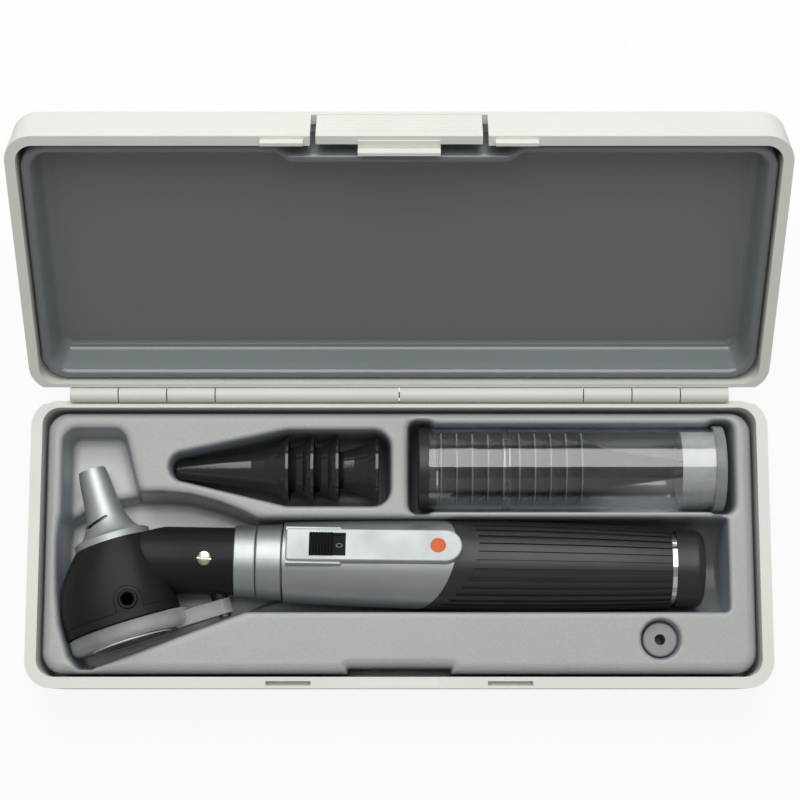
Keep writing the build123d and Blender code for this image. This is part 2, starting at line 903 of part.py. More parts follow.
spring_seat = cap_end - cap_end_wall
with BuildPart() as end_cap:
    add(revolved_ring(cap_start, cap_end, cap_radius, 0))
    fillet(end_cap.faces().sort_by(handle_axis)[-1].edges(), cap_round)
    add(revolved_ring(cap_spigot_start, cap_start, spigot_radius, 0))
    with BuildSketch(handle_section(cap_spigot_start)):
        Circle(battery_bore_radius)
    extrude(amount=cells_end + cell_end_gap - cap_spigot_start, mode=Mode.SUBTRACT)
    with BuildSketch(handle_section(cells_end)):
        Circle(cap_spring_bore)
    extrude(amount=spring_seat - cells_end, mode=Mode.SUBTRACT)
save(end_cap, "end_cap")

# Contact spring, a short conical coil held in the cap
spring_wire = 0.35
spring_start = cells_end + spring_wire + 0.05
spring_height = spring_seat - spring_wire - spring_start
with BuildPart() as end_spring:
    with BuildLine() as coil:
        Helix(
            pitch=spring_height / 3,
            height=spring_height,
            radius=4.5,
            center=handle_origin + handle_dir * spring_start,
            direction=handle_dir,
        )
    with BuildSketch(Plane(origin=coil.line @ 0, z_dir=coil.line % 0)):
        Circle(spring_wire)
    sweep(path=coil.line)
save(end_spring, "end_spring")

# ---------------------------------------------------------------- clip plate and switch
clip_up = Vector(0, 0, 1) * cos(radians(clip_roll)) + handle_side * sin(radians(clip_roll))
clip_across = handle_side * cos(radians(clip_roll)) - Vector(0, 0, 1) * sin(radians(clip_roll))
clip_rise = (clip_rear_height - clip_front_height) / (clip_end - clip_start)


def clip_plane(height):
    """Plane parallel to the handle's axis, at a height towards the clip's side."""
    return Plane(origin=handle_origin + clip_up * height, x_dir=handle_dir, z_dir=clip_up)


def clip_top_plane(drop):
    """Plane of the plate's top face, lowered by drop."""
    height = clip_front_height - clip_start * clip_rise - drop
    return Plane(
        origin=handle_origin + clip_up * height,
        x_dir=handle_dir + clip_up * clip_rise,
        z_dir=clip_up - handle_dir * clip_rise,
    )


with BuildPart() as clip_plate:
    with BuildSketch(clip_plane(clip_root)):
        with BuildLine():
            Polyline(
                (clip_end - clip_half_width, clip_half_width),
                (clip_start, clip_half_width),
                (clip_start, -clip_half_width),
                (clip_end - clip_half_width, -clip_half_width),
            )
            ThreePointArc(
                (clip_end - clip_half_width, -clip_half_width),
                (clip_end, 0),
                (clip_end - clip_half_width, clip_half_width),
            )
        make_face()
    extrude(amount=clip_rear_height)
    upright_edges = clip_plate.edges().filter_by(Axis(handle_origin, clip_up))
    fillet(upright_edges.sort_by(handle_axis)[:2], clip_corner)
    split(bisect_by=clip_top_plane(0), keep=Keep.BOTTOM)
    top_face = clip_plate.faces().sort_by(Axis(handle_origin, clip_up))[-1]
    fillet(top_face.edges(), clip_edge)
    with BuildSketch(clip_plane(clip_root)):
        with Locations(((clip_start + clip_pad_end) / 2, 0)):
            Rectangle(clip_pad_end - clip_start, 2 * clip_pad_half_width)
    extrude(amount=clip_pad_height - clip_root)
    with BuildSketch(clip_top_plane(-1.0)):
        with Locations(((switch_start + switch_end) / 2, 0)):
            Rectangle(switch_end - switch_start, 2 * switch_half_width)
    extrude(amount=-(1.0 + switch_recess), mode=Mode.SUBTRACT)
    add(barrel_solid(0), mode=Mode.SUBTRACT)
save(clip_plate, "clip_plate")

with BuildPart() as switch_panel:
    with BuildSketch(clip_top_plane(switch_recess)):
        with Locations(((switch_start + switch_end) / 2, 0)):
            Rectangle(
                switch_end - switch_start - 2 * slider_gap,
                2 * (switch_half_width - slider_gap),
            )
    extrude(amount=switch_panel_thickness)
save(switch_panel, "switch_panel")

slider_bottom = switch_recess - switch_panel_thickness - slider_gap
slider_half_width = switch_half_width - slider_gap
slider_start = switch_start + slider_gap
with BuildPart() as switch_slider:
    with BuildSketch(clip_top_plane(slider_bottom)):
        with Locations((slider_start + slider_length / 2, 0)):
            Rectangle(slider_length, 2 * slider_half_width)
    extrude(amount=slider_bottom + slider_proud - slider_rib_height)
    with BuildSketch(clip_top_plane(slider_bottom)):
        rib_pitch = slider_length / slider_rib_count
        with Locations((slider_start + slider_length / 2, 0)):
            with GridLocations(rib_pitch, 1, slider_rib_count, 1):
                Rectangle(rib_pitch * slider_rib_share, 2 * slider_half_width)
    extrude(amount=slider_bottom + slider_proud)
save(switch_slider, "switch_slider")

# ---------------------------------------------------------------- otoscope head
neck_inner_end = -44.0
port_centre = head_origin + head_right * port_u + head_forward * port_w
port_plane = Plane(origin=(port_centre.X, port_centre.Y, otoscope_z + port_floor_height))
port_top = otoscope_z + port_top_height
tab_floor = otoscope_z + port_tab_height
screw_centre = handle_origin + handle_dir * screw_x
screw_top = otoscope_z + neck_radius
screw_foot = otoscope_z + led_radius + screw_foot_gap


def squared_oval(centre_u, half_width, half_height, squareness):
    """Oval across the head, fuller at its corners as the squareness grows from 2."""
    points = []
    for step in range(head_oval_points):
        angle = 2 * pi * (step + 0.5) / head_oval_points
        across = copysign(abs(cos(angle)) ** (2 / squareness), cos(angle))
        up = copysign(abs(sin(angle)) ** (2 / squareness), sin(angle))
        points.append((centre_u + half_width * across, half_height * up))
    with BuildSketch() as oval:
        with BuildLine():
            Spline(*points, periodic=True)
        make_face()
    return oval.sketch


with BuildPart() as head_block:
    with BuildSketch(head_section(head_front_w)):
        add(squared_oval(0, head_front_half_width, head_front_half_height, 2.0))
    with BuildSketch(head_section(head_mid_w)):
        add(squared_oval(head_mid_u, head_mid_half_width, head_mid_half_height, head_squareness))
    with BuildSketch(head_section(head_seam_w)):
        add(squared_oval(head_seam_u, head_seam_half_width, head_seam_half_height, head_squareness))
    loft()
    with BuildSketch(head_section(head_seam_w)):
        add(squared_oval(head_seam_u, head_seam_half_width, head_seam_half_height, head_squareness))
    extrude(amount=head_seam_w - head_rear_w)

# Viewing channel from the rear frame to the speculum
with BuildPart() as viewing_channel:
    with BuildSketch(head_profile):
        with BuildLine():
            Polyline(
                (head_rear_w - 1, 0),
                (head_rear_w - 1, 8.6),
                (head_front_w + 1, 6.0),
                (head_front_w + 1, 0),
                close=True,
            )
        make_face()
    revolve(axis=head_axis)


def rear_region(gap):
    """Space of the rear frame: a slice across the head and an arched tab round the port."""
    with BuildPart() as region:
        with BuildSketch(head_section(head_seam_w - seam_gap + gap)):
            with Locations((-3.0, 0)):
                Rectangle(34, 40)
        extrude(amount=10)
        with BuildSketch(Plane(origin=(port_centre.X, port_centre.Y, tab_floor - gap), x_dir=head_right)):
            Circle(port_tab_radius + gap)
            with Locations((0, head_seam_w / 2 - port_w / 2 - 1)):
                Rectangle(2 * (port_tab_radius + gap), port_w - head_seam_w + 2)
        extrude(amount=10)
    return region.part


with BuildPart() as head_housing:
    add(head_block.part)
    with BuildSketch(handle_section(neck_inner_end)):
        Circle(neck_radius)
    extrude(amount=collar_front_start - neck_inner_end)
    with BuildSketch(head_section(head_front_w)):
        Rectangle(80, 60)
    extrude(amount=-20, mode=Mode.SUBTRACT)
    # Spigot that enters the front collar
    with BuildSketch(handle_section(collar_front_start - 1)):
        Circle(collar_spigot_radius)
    extrude(amount=collar_meeting - collar_front_start + 1)
    # Boss for the window's pivot pin
    with BuildSketch(head_section(pivot_boss_start)):
        with Locations((pivot_u, 0)):
            Circle(pivot_boss_radius)
    extrude(amount=pivot_boss_length)
    add(rear_region(seam_gap), mode=Mode.SUBTRACT)
    add(viewing_channel.part, mode=Mode.SUBTRACT)
    # Bore for the lamp module, then the holes of the screw, the port and the pivot pin
    with BuildSketch(handle_section(led_start)):
        Circle(led_radius + fit_gap)
    extrude(amount=30.0, mode=Mode.SUBTRACT)
    with BuildSketch(Plane(origin=(screw_centre.X, screw_centre.Y, screw_foot))):
        Circle(screw_shank_radius + fit_gap)
    extrude(amount=10.0, mode=Mode.SUBTRACT)
    with BuildSketch(Plane(origin=(screw_centre.X, screw_centre.Y, screw_top - screw_head_height))):
        Circle(screw_head_radius + fit_gap)
    extrude(amount=5.0, mode=Mode.SUBTRACT)
    with BuildSketch(port_plane):
        Circle(port_radius + fit_gap)
    extrude(amount=10.0, mode=Mode.SUBTRACT)
    with BuildSketch(head_section(pivot_pin_front)):
        with Locations((pivot_u, 0)):
            Circle(pivot_pin_radius + fit_gap)
    extrude(amount=10.0, mode=Mode.SUBTRACT)
save(head_housing, "head_housing")

with BuildPart() as head_rear_frame:
    add(head_block.part)
    add(rear_region(0), mode=Mode.INTERSECT)
    add(viewing_channel.part, mode=Mode.SUBTRACT)
    with BuildSketch(port_plane):
        Circle(port_radius + fit_gap)
    extrude(amount=10.0, mode=Mode.SUBTRACT)
save(head_rear_frame, "head_rear_frame")

# Socket of the air bulb, let into the top of the head
with BuildPart() as insufflation_port:
    with BuildSketch(port_plane):
        Circle(port_radius)
        Circle(port_bore_radius, mode=Mode.SUBTRACT)
    extrude(amount=port_top - port_plane.origin.Z)
    fillet(insufflation_port.faces().sort_by(Axis.Z)[-1].edges(), port_round)
save(insufflation_port, "insufflation_port")

with BuildPart() as led_module:
    add(revolved_ring(led_start, collar_front_start - 1.1, led_radius, 0))
    fillet(led_module.faces().sort_by(handle_axis)[0].edges(), led_round)
save(led_module, "led_module")

with BuildPart() as neck_screw:
    with BuildSketch(Plane(origin=(screw_centre.X, screw_centre.Y, screw_foot))):
        Circle(screw_shank_radius)
    extrude(amount=screw_top - screw_head_height - screw_foot)
    with BuildSketch(Plane(origin=(screw_centre.X, screw_centre.Y, screw_top - screw_head_height))):
        Circle(screw_head_radius)
    extrude(amount=screw_head_height)
    with BuildSketch(Plane(origin=(screw_centre.X, screw_centre.Y, screw_top))):
        Rectangle(3 * screw_head_radius, screw_slot_width, rotation=screw_slot_turn)
    extrude(amount=-screw_slot_depth, mode=Mode.SUBTRACT)
save(neck_screw, "neck_screw")

# Metal holder that carries a speculum: a flared cone on a round flange
with BuildPart() as speculum_holder:
    with BuildSketch(head_profile):
        with BuildLine():
            Polyline(
                (head_front_w, holder_flange_bore),
                (head_front_w, holder_flange_radius),
                (0.75, holder_flange_radius),
                (1.1, 9.3),
                (1.75, 7.6),
            )
            Spline((1.75, 7.6), (5.5, 5.5), (10.5, 4.5), (holder_tip_w, holder_tip_radius))
            Line((holder_tip_w, holder_tip_radius), (holder_tip_w, holder_tip_radius - holder_wall))
            Spline(
                (holder_tip_w, holder_tip_radius - holder_wall),
                (10.5, 4.5 - holder_wall),
                (5.5, 5.5 - holder_wall),
                (1.75, 7.6 - holder_wall),
            )
            Line((1.75, 7.6 - holder_wall), (head_front_w, holder_flange_bore))
        make_face()
    revolve(axis=head_axis)
    # Slanting bayonet slot in the upper side
    with BuildSketch(Plane(origin=head_origin, x_dir=head_right)):
        with Locations((bayonet_u, bayonet_w)):
            SlotOverall(bayonet_length, bayonet_width, rotation=bayonet_angle)
    extrude(amount=12.0, mode=Mode.SUBTRACT)
save(speculum_holder, "speculum_holder")

# Tapering light guide inside the holder
with BuildPart() as light_guide_tube:
    with BuildSketch(head_profile):
        with BuildLine():
            Polyline(
                (0.5, 5.9),
                (5.5, 4.3),
                (10.5, 3.3),
                (holder_tip_w - 0.6, 2.4),
                (holder_tip_w - 0.6, 1.9),
                (10.5, 2.8),
                (5.5, 3.8),
                (0.5, 5.4),
                close=True,
            )
        make_face()
    revolve(axis=head_axis)
save(light_guide_tube, "light_guide_tube")

# ---------------------------------------------------------------- viewing window
arm_start_u = 11.0
eye_front_w = -23.2
eye_rear_w = -27.0

with BuildPart() as window_frame:
    with BuildSketch(head_section(window_front_w)):
        with Locations((window_u, 0)):
            Ellipse(window_half_width, window_half_height)
    extrude(amount=window_front_w - window_rear_w)
    fillet(window_frame.faces().sort_by(head_axis)[0].edges(), 1.8)
    fillet(window_frame.faces().sort_by(head_axis)[-1].edges(), 0.4)
    with BuildSketch(head_section(eye_front_w)):
        with Locations((arm_start_u, 0)):
            Circle(3.4)
        with Locations((pivot_u, 0)):
            Circle(pivot_eye_radius)
        make_hull()
    extrude(amount=eye_front_w - eye_rear_w)
    with BuildSketch(head_section(window_front_w + 1)):
        Circle(lens_radius)
        with Locations((pivot_u, 0)):
            Circle(pivot_pin_radius + pin_clearance)
    extrude(amount=8.0, mode=Mode.SUBTRACT)
save(window_frame, "window_frame")

lens_edge_front = -23.3
lens_edge_rear = -25.5
lens_bulge = 0.8
with BuildPart() as window_lens:
    with BuildSketch(head_profile):
        with BuildLine():
            Line((lens_edge_rear - lens_bulge, 0), (lens_edge_front + lens_bulge, 0))
            Spline(
                (lens_edge_front + lens_bulge, 0),
                (lens_edge_front, lens_radius),
                tangents=((0, 1), (-0.16, 1)),
            )
            Line((lens_edge_front, lens_radius), (lens_edge_rear, lens_radius))
            Spline(
                (lens_edge_rear, lens_radius),
                (lens_edge_rear - lens_bulge, 0),
                tangents=((-0.16, -1), (0, -1)),
            )
        make_face()
    revolve(axis=head_axis)
save(window_lens, "window_lens")

with BuildPart() as window_pivot_pin:
    with BuildSketch(head_section(pivot_pin_front)):
        with Locations((pivot_u, 0)):
            Circle(pivot_pin_radius)
    extrude(amount=pivot_pin_front - eye_rear_w + 0.1)
    with BuildSketch(head_section(eye_rear_w - 0.1)):
        with Locations((pivot_u, 0)):
            Circle(pivot_head_radius)
    extrude(amount=pivot_head_length)
save(window_pivot_pin, "window_pivot_pin")

# ---------------------------------------------------------------- tube of disposable specula
tube_centre = (tube_y, tube_z)


def tube_ring(start, end, outer, inner):
    """Plain ring or disc on the clear tube's axis."""
    with BuildPart() as ring:
        with BuildSketch(Plane.YZ.offset(start)):
            with Locations(tube_centre):
                Circle(outer)
                if inner > 0:
                    Circle(inner, mode=Mode.SUBTRACT)
        extrude(amount=end - start)
    return ring.part


with BuildPart() as tube_wall:
    add(tube_ring(tube_start, tube_end, tube_radius, tube_bore_radius))
save(tube_wall, "tube_wall")

with BuildPart() as tube_end_cap:
    add(tube_ring(tube_cap_start, tube_start, tube_cap_radius, 0))
    fillet(tube_end_cap.faces().sort_by(Axis.X)[0].edges(), 0.5)
    add(tube_ring(tube_start, tube_start + 1.9, tube_bore_radius - fit_gap, tube_bore_radius - 1.2))
save(tube_end_cap, "tube_end_cap")

with BuildPart() as tube_plug:
    add(tube_ring(tube_end + fit_gap, plug_end, plug_flange_radius, 0))
    fillet(tube_plug.faces().sort_by(Axis.X)[-1].edges(), 0.6)
    add(tube_ring(plug_insert_start, tube_end + fit_gap, tube_bore_radius - fit_gap, 0))
    add(
        tube_ring(plug_insert_start, tube_end, tube_bore_radius - plug_insert_wall, 0),
        mode=Mode.SUBTRACT,
    )
save(tube_plug, "tube_plug")

for index in range(disposable_count):
    flange_at = disposable_lead_flange - index * disposable_pitch
    tip_at = flange_at + disposable_length
    wall = disposable_wall
    with BuildPart() as disposable:
        with BuildSketch(Plane(origin=(0, tube_y, tube_z), x_dir=(1, 0, 0), z_dir=(0, -1, 0))):
            with BuildLine():
                Polyline(
                    (tip_at, 2.1),
                    (tip_at - 18.0, 4.6),
                    (tip_at - 22.0, 5.6),
                    (flange_at + 0.5, 8.6),
                    (flange_at + 0.5, 9.3),
                    (flange_at, 9.3),
                    (flange_at, 8.6 - wall * 0.4),
                    (tip_at - 22.0, 5.6 - wall * 1.1),
                    (tip_at - 18.0, 4.6 - wall),
                    (tip_at, 2.1 - wall),
                    close=True,
                )
            make_face()
        revolve(axis=Axis((0, tube_y, tube_z), (1, 0, 0)))
    save(disposable, f"disposable_speculum_{index + 1:02d}")

# ---------------------------------------------------------------- stack of reusable specula
for index, flange_at in enumerate(stack_flanges):
    tip_at = flange_at - reusable_length
    wall = reusable_wall
    with BuildPart() as reusable:
        with BuildSketch(Plane(origin=(0, stack_y, stack_z), x_dir=(1, 0, 0), z_dir=(0, -1, 0))):
            with BuildLine():
                Polyline(
                    (tip_at, 2.3),
                    (tip_at + 19.5, 5.0),
                    (tip_at + 23.0, 5.7),
                    (tip_at + 26.5, 6.9),
                    (flange_at - 0.7, 8.5),
                    (flange_at - 0.7, 8.8),
                    (flange_at, 8.8),
                    (flange_at, 8.5 - wall),
                    (tip_at + 26.5, 6.9 - wall * 1.3),
                    (tip_at + 23.0, 5.7 - wall * 1.1),
                    (tip_at + 19.5, 5.0 - wall),
                    (tip_at, 2.3 - wall),
                    close=True,
                )
            make_face()
        revolve(axis=Axis((0, stack_y, stack_z), (1, 0, 0)))
    save(reusable, f"reusable_speculum_{index + 1}")

# ---------------------------------------------------------------- air bulb adapter
with BuildPart() as insufflation_adapter:
    with BuildSketch(Plane.XY.offset(adapter_bottom)):
        with Locations((adapter_x, adapter_y)):
            Circle(adapter_nozzle_radius)
    extrude(amount=adapter_top - adapter_disc_thickness - adapter_bottom)
    with BuildSketch(Plane.XY.offset(adapter_top - adapter_disc_thickness)):
        with Locations((adapter_x, adapter_y)):
            Circle(adapter_disc_radius)
    extrude(amount=adapter_disc_thickness)
    fillet(insufflation_adapter.faces().sort_by(Axis.Z)[-1].edges(), 0.5)
    with BuildSketch(Plane.XY.offset(adapter_bottom)):
        with Locations((adapter_x, adapter_y)):
            Circle(adapter_bore_radius)
    extrude(amount=adapter_top - adapter_bottom, mode=Mode.SUBTRACT)
    with BuildSketch(Plane.XY.offset(adapter_top)):
        with Locations((adapter_x, adapter_y + adapter_disc_radius)):
            Circle(0.4)
    extrude(amount=-1.0, mode=Mode.SUBTRACT)
save(insufflation_adapter, "insufflation_adapter")
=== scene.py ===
import logging
import math
from dataclasses import dataclass, field, replace
from enum import Enum
from typing import Callable, Iterable

import bmesh
import bpy
import numpy as np
from mathutils import Matrix, Vector


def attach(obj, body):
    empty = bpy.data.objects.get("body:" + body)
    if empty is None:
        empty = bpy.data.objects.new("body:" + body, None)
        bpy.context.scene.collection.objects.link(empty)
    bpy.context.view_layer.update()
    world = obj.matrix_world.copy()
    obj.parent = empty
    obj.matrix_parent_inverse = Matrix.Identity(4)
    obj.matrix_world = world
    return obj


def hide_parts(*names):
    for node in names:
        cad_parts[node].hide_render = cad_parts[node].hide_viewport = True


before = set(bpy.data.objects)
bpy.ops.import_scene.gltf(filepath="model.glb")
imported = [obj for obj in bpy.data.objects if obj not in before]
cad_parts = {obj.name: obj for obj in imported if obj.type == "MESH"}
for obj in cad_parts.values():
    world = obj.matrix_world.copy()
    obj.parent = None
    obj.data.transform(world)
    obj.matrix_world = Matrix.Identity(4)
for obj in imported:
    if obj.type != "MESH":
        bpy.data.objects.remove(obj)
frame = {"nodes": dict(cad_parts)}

log = logging.getLogger("carry_case")

MM = 0.001
WHITE = (1.0, 1.0, 1.0, 1.0)

Pair = tuple[float, float]
Triple = tuple[float, float, float]
Corners = tuple[Pair, ...]
Places = np.ndarray
Field = Callable[[Places, Places], Places]


# ---------------- shader maths
class Wire:
    """One socket of a shader. Arithmetic on it adds Math nodes to the shader.

    Args:
        shader: The shader that the socket belongs to.
        socket: The output socket that carries the value.
    """

    def __init__(self, shader: "Shader", socket: bpy.types.NodeSocket) -> None:
        """Keeps the shader and the socket."""
        self.shader = shader
        self.socket = socket

    def _math(self, operation: str, *values: "Wire | float") -> "Wire":
        """Adds one Math node.

        Args:
            operation: The Math node's operation.
            values: Its inputs in order, as wires or numbers.

        Returns:
            The node's result.
        """
        inputs = dict(enumerate(values))
        return self.shader.add("ShaderNodeMath", {"operation": operation}, inputs)

    def __add__(self, other: "Wire | float") -> "Wire":
        """Sum."""
        return self._math("ADD", self, other)

    __radd__ = __add__

    def __mul__(self, other: "Wire | float") -> "Wire":
        """Product."""
        return self._math("MULTIPLY", self, other)

    __rmul__ = __mul__

    def __sub__(self, other: "Wire | float") -> "Wire":
        """Difference."""
        return self._math("SUBTRACT", self, other)

    def __rsub__(self, other: float) -> "Wire":
        """Difference from a number."""
        return self._math("SUBTRACT", other, self)

    def over(self, low: float, high: float, start: float = 0.0, end: float = 1.0) -> "Wire":
        """Smooth share of the way from one value to another.

        Args:
            low: The value that gives start.
            high: The value that gives end.
            start: Result at and below low.
            end: Result at and above high.

        Returns:
            The eased result.
        """
        settings = {"interpolation_type": "SMOOTHSTEP"}
        inputs = {0: self, 1: low, 2: high, 3: start, 4: end}
        return self.shader.add("ShaderNodeMapRange", settings, inputs)


class Shader:
    """A node tree under construction."""

    # Where a Mix node has its sockets for colours.
    MIX_FIRST, MIX_SECOND, MIX_RESULT = 6, 7, 2

    def __init__(
        self,
        owner: bpy.types.Material | bpy.types.World,
        output: str = "ShaderNodeOutputMaterial",
    ) -> None:
        """Leaves the tree with nothing but an output node.

        Args:
            owner: The material or world that has the tree.
            output: The type of its output node.
        """
        self.owner = owner
        owner.use_nodes = True
        self.tree = owner.node_tree
        self.tree.nodes.clear()
        self.output = self.tree.nodes.new(output)

    def add(
        self,
        kind: str,
        settings: dict[str, object] | None = None,
        inputs: dict[object, object] | None = None,
        result: int | str = 0,
    ) -> Wire:
        """Adds one node.

        Args:
            kind: The node's type.
            settings: Attributes, which are set first.
            inputs: Values or wires by socket name or number.
            result: The output socket to return.

        Returns:
            The chosen output.
        """
        node = self.tree.nodes.new(kind)
        for key, value in (settings or {}).items():
            setattr(node, key, value)
        for key, value in (inputs or {}).items():
            if isinstance(value, Wire):
                self.tree.links.new(value.socket, node.inputs[key])
            else:
                node.inputs[key].default_value = value
        return Wire(self, node.outputs[result])

    def place(self) -> Wire:
        """Object coordinates, in metres."""
        return self.add("ShaderNodeTexCoord", result="Object")

    def project(self, vector: Wire, direction: Triple) -> Wire:
        """Length of a vector along a direction, which is one unit long."""
        settings = {"operation": "DOT_PRODUCT"}
        return self.add("ShaderNodeVectorMath", settings, {0: vector, 1: direction}, "Value")

    def facing(self, direction: Triple) -> Wire:
        """1 where a surface faces a direction of the object, 0 where it is square to it."""
        return self.project(self.add("ShaderNodeTexCoord", result="Normal"), direction)

    def glancing(self, blend: float) -> Wire:
        """Share that grows towards a clear piece's edges, and sooner with more blend."""
        return self.add("ShaderNodeLayerWeight", inputs={"Blend": blend}, result="Facing")

    def noise(self, grain: float, detail: float) -> Wire:
        """Soft noise from 0 to 1, with features of grain metres and detail finer layers."""
        inputs = {"Vector": self.place(), "Scale": 1.0 / grain, "Detail": detail}
        return self.add("ShaderNodeTexNoise", inputs=inputs)

    def mix(self, share: Wire, first: "Colour | Wire", second: "Colour | Wire") -> Wire:
        """Mix of two colours.

        Args:
            share: 0 gives the first colour and 1 the second.
            first: A colour or a wire.
            second: A colour or a wire.

        Returns:
            The mixed colour.
        """
        ends = [end if isinstance(end, Wire) else end.rgba() for end in (first, second)]
        inputs = {0: share, self.MIX_FIRST: ends[0], self.MIX_SECOND: ends[1]}
        return self.add("ShaderNodeMix", {"data_type": "RGBA"}, inputs, self.MIX_RESULT)

    def bump(self, height: Wire, depth: float) -> Wire:
        """Normal bumped by a height from 0 to 1, which stands for depth metres."""
        inputs = {"Height": height, "Distance": depth, "Strength": 1.0}
        return self.add("ShaderNodeBump", inputs=inputs)

    def show(self, shader: Wire) -> None:
        """Joins a finished shader to the output node."""
        self.tree.links.new(shader.socket, self.output.inputs["Surface"])

    def surface(
        self, inputs: dict[object, object], lets_light_in: bool = False
    ) -> bpy.types.Material:
        """Finishes the material with a Principled surface.

        Args:
            inputs: The surface's sockets.
            lets_light_in: Whether lamps shine through it without casting its shadow.

        Returns:
            The material.
        """
        shader = self.add("ShaderNodeBsdfPrincipled", inputs=inputs)
        if lets_light_in:
            shadow = self.add("ShaderNodeLightPath", result="Is Shadow Ray")
            open_way = self.add("ShaderNodeBsdfTransparent")
            shader = self.add("ShaderNodeMixShader", inputs={0: shadow, 1: shader, 2: open_way})
        self.show(shader)
        return self.owner


@dataclass(frozen=True)
class Colour:
    """A colour as it shows on a screen, each part from 0 to 255."""

    red: float
    green: float
    blue: float

    def rgba(self) -> tuple[float, float, float, float]:
        """The colour in linear light.

        Returns:
            Red, green, blue and full cover, each from 0 to 1.
        """
        parts = (self.red / 255, self.green / 255, self.blue / 255)
        linear = [c / 12.92 if c <= 0.04045 else ((c + 0.055) / 1.055) ** 2.4 for c in parts]
        return (linear[0], linear[1], linear[2], 1.0)


# ---------------- finishes
# The part of a noise's range over which a change runs from its start to its end.
PATCHY = (0.35, 0.7)
EVEN = (0.3, 0.7)
BROAD = (0.3, 0.75)
WIDE = (0.2, 0.8)


@dataclass(frozen=True)
class Finish:
    """A finish that can be built as a material."""

    name: str

    def shader(self) -> Shader:
        """An empty material with the finish's name."""
        return Shader(bpy.data.materials.new(self.name))

    def build(self) -> bpy.types.Material:
        """Makes the material."""
        raise NotImplementedError


@dataclass(frozen=True)
class Moulded(Finish):
    """Moulded plastic with a fine eroded grain and slow clouds. Sizes are in metres."""

    colour: Colour
    shade: Colour
    roughness: float
    grain: float = 0.0003
    grain_depth: float = 0.00002
    cloud: float = 0.02
    coat: float = 0.0
    gloss: float = 0.5
    coat_roughness: float = 0.15
    cloud_share: float = 0.7
    spread: Pair = (0.04, 0.05)

    def build(self) -> bpy.types.Material:
        """Makes the material.

        Returns:
            The material.
        """
        shader = self.shader()
        cloud = shader.noise(self.cloud, detail=3.0)
        grain = shader.noise(self.grain, detail=1.0)
        share = cloud.over(*PATCHY) * self.cloud_share + grain * (1.0 - self.cloud_share)
        low, high = self.roughness - self.spread[0], self.roughness + self.spread[1]
        return shader.surface(
            {
                "Base Color": shader.mix(share, self.colour, self.shade),
                "Roughness": cloud.over(*EVEN, low, high),
                "Normal": shader.bump(grain, self.grain_depth),
                "Specular IOR Level": self.gloss,
                "Coat Weight": self.coat,
                "Coat Roughness": self.coat_roughness,
            }
        )


@dataclass(frozen=True)
class PressedSheet(Finish):
    """Sheet pressed over a form: grainy, with painted light and shade on steep walls and deep
    floors.

    A wall takes a painted shading colour as it faces upward less, between the two ends of
    steepness: painted shade where that colour is darker than the sheet, painted light where it is
    lighter. A floor more than a fall below level takes a lighter colour as painted light, or a
    darker one as painted shade where it lies past a start along x and past a reach along a
    slanted way. Sizes are in metres.
    """

    colour: Colour
    shade: Colour
    # Painted shading on walls: painted shade where darker than the sheet, painted light where
    # lighter.
    painted_wall_shading: Colour
    # Colour of deep floors; where lighter than the sheet it is painted light.
    deep: Colour
    level: float
    fall: float
    # Painted shade on deep floors past a start along x and beyond a slanted line, set by this
    # colour and the four fields below it.
    painted_floor_shade: Colour = Colour(128, 130, 130)
    painted_shade_start: float = 1.0
    painted_shade_way: Triple = (0.287, 0.958, 0.0)
    painted_shade_reach: float = -0.0026
    painted_shade_fade: float = 0.001
    coat: float = 0.0
    coat_roughness: float = 0.14
    upward: Triple = (0.0, 0.0, 1.0)
    steepness: Pair = (0.15, 0.97)
    grain: float = 0.00045
    grain_depth: float = 0.00002
    grain_share: float = 0.65
    cloud: float = 0.03
    roughness: Pair = (0.27, 0.34)

    def build(self) -> bpy.types.Material:
        """Makes the material.

        Returns:
            The material.
        """
        shader = self.shader()
        grain = shader.noise(self.grain, detail=2.0)
        clouds = shader.noise(self.cloud, detail=2.0).over(*BROAD) * (1.0 - self.grain_share)
        share = clouds + grain.over(*EVEN) * self.grain_share
        flat = shader.mix(share, self.colour, self.shade)
        place = shader.place()
        # Painted light: deep floors take the lighter deep colour.
        down = (self.level - shader.project(place, self.upward)).over(0.0, self.fall)
        # Painted shade on the deep floors that lie right of a start along x and beyond a slanted
        # line towards the back.
        along = shader.project(place, (1.0, 0.0, 0.0)) - self.painted_shade_start
        across = shader.project(place, self.painted_shade_way) - self.painted_shade_reach
        painted_floor_shade = along.over(0.0, 2 * self.painted_shade_fade) * across.over(0.0, self.painted_shade_fade)
        flat = shader.mix(down * (1.0 - painted_floor_shade), flat, self.deep)
        flat = shader.mix(down * painted_floor_shade, flat, self.painted_floor_shade)
        # Painted shading: walls take the wall colour the less they face upward.
        steep = shader.facing(self.upward).over(*self.steepness, 1.0, 0.0)
        return shader.surface(
            {
                "Base Color": shader.mix(steep, flat, self.painted_wall_shading),
                "Roughness": grain.over(*WIDE, *self.roughness),
                "Normal": shader.bump(grain, self.grain_depth),
                "Coat Weight": self.coat,
                "Coat Roughness": self.coat_roughness,
            }
        )


@dataclass(frozen=True)
class Metal(Finish):
    """Metal, blasted or bright, with faint smudges. Sizes are in metres."""

    colour: Colour
    shade: Colour
    roughness: float
    metallic: float = 1.0
    blast: float = 0.00018
    blast_depth: float = 0.000006
    blast_roughness: float = 0.04
    cloud: float = 0.012
    spread: Pair = (0.03, 0.05)

    def build(self) -> bpy.types.Material:
        """Makes the material.

        Returns:
            The material.
        """
        shader = self.shader()
        cloud = shader.noise(self.cloud, detail=3.0)
        blast = shader.noise(self.blast, detail=1.0)
        low, high = self.roughness - self.spread[0], self.roughness + self.spread[1]
        return shader.surface(
            {
                "Base Color": shader.mix(cloud.over(*BROAD), self.colour, self.shade),
                "Roughness": cloud.over(*PATCHY, low, high) + blast * self.blast_roughness,
                "Metallic": self.metallic,
                "Normal": shader.bump(blast, self.blast_depth),
            }
        )


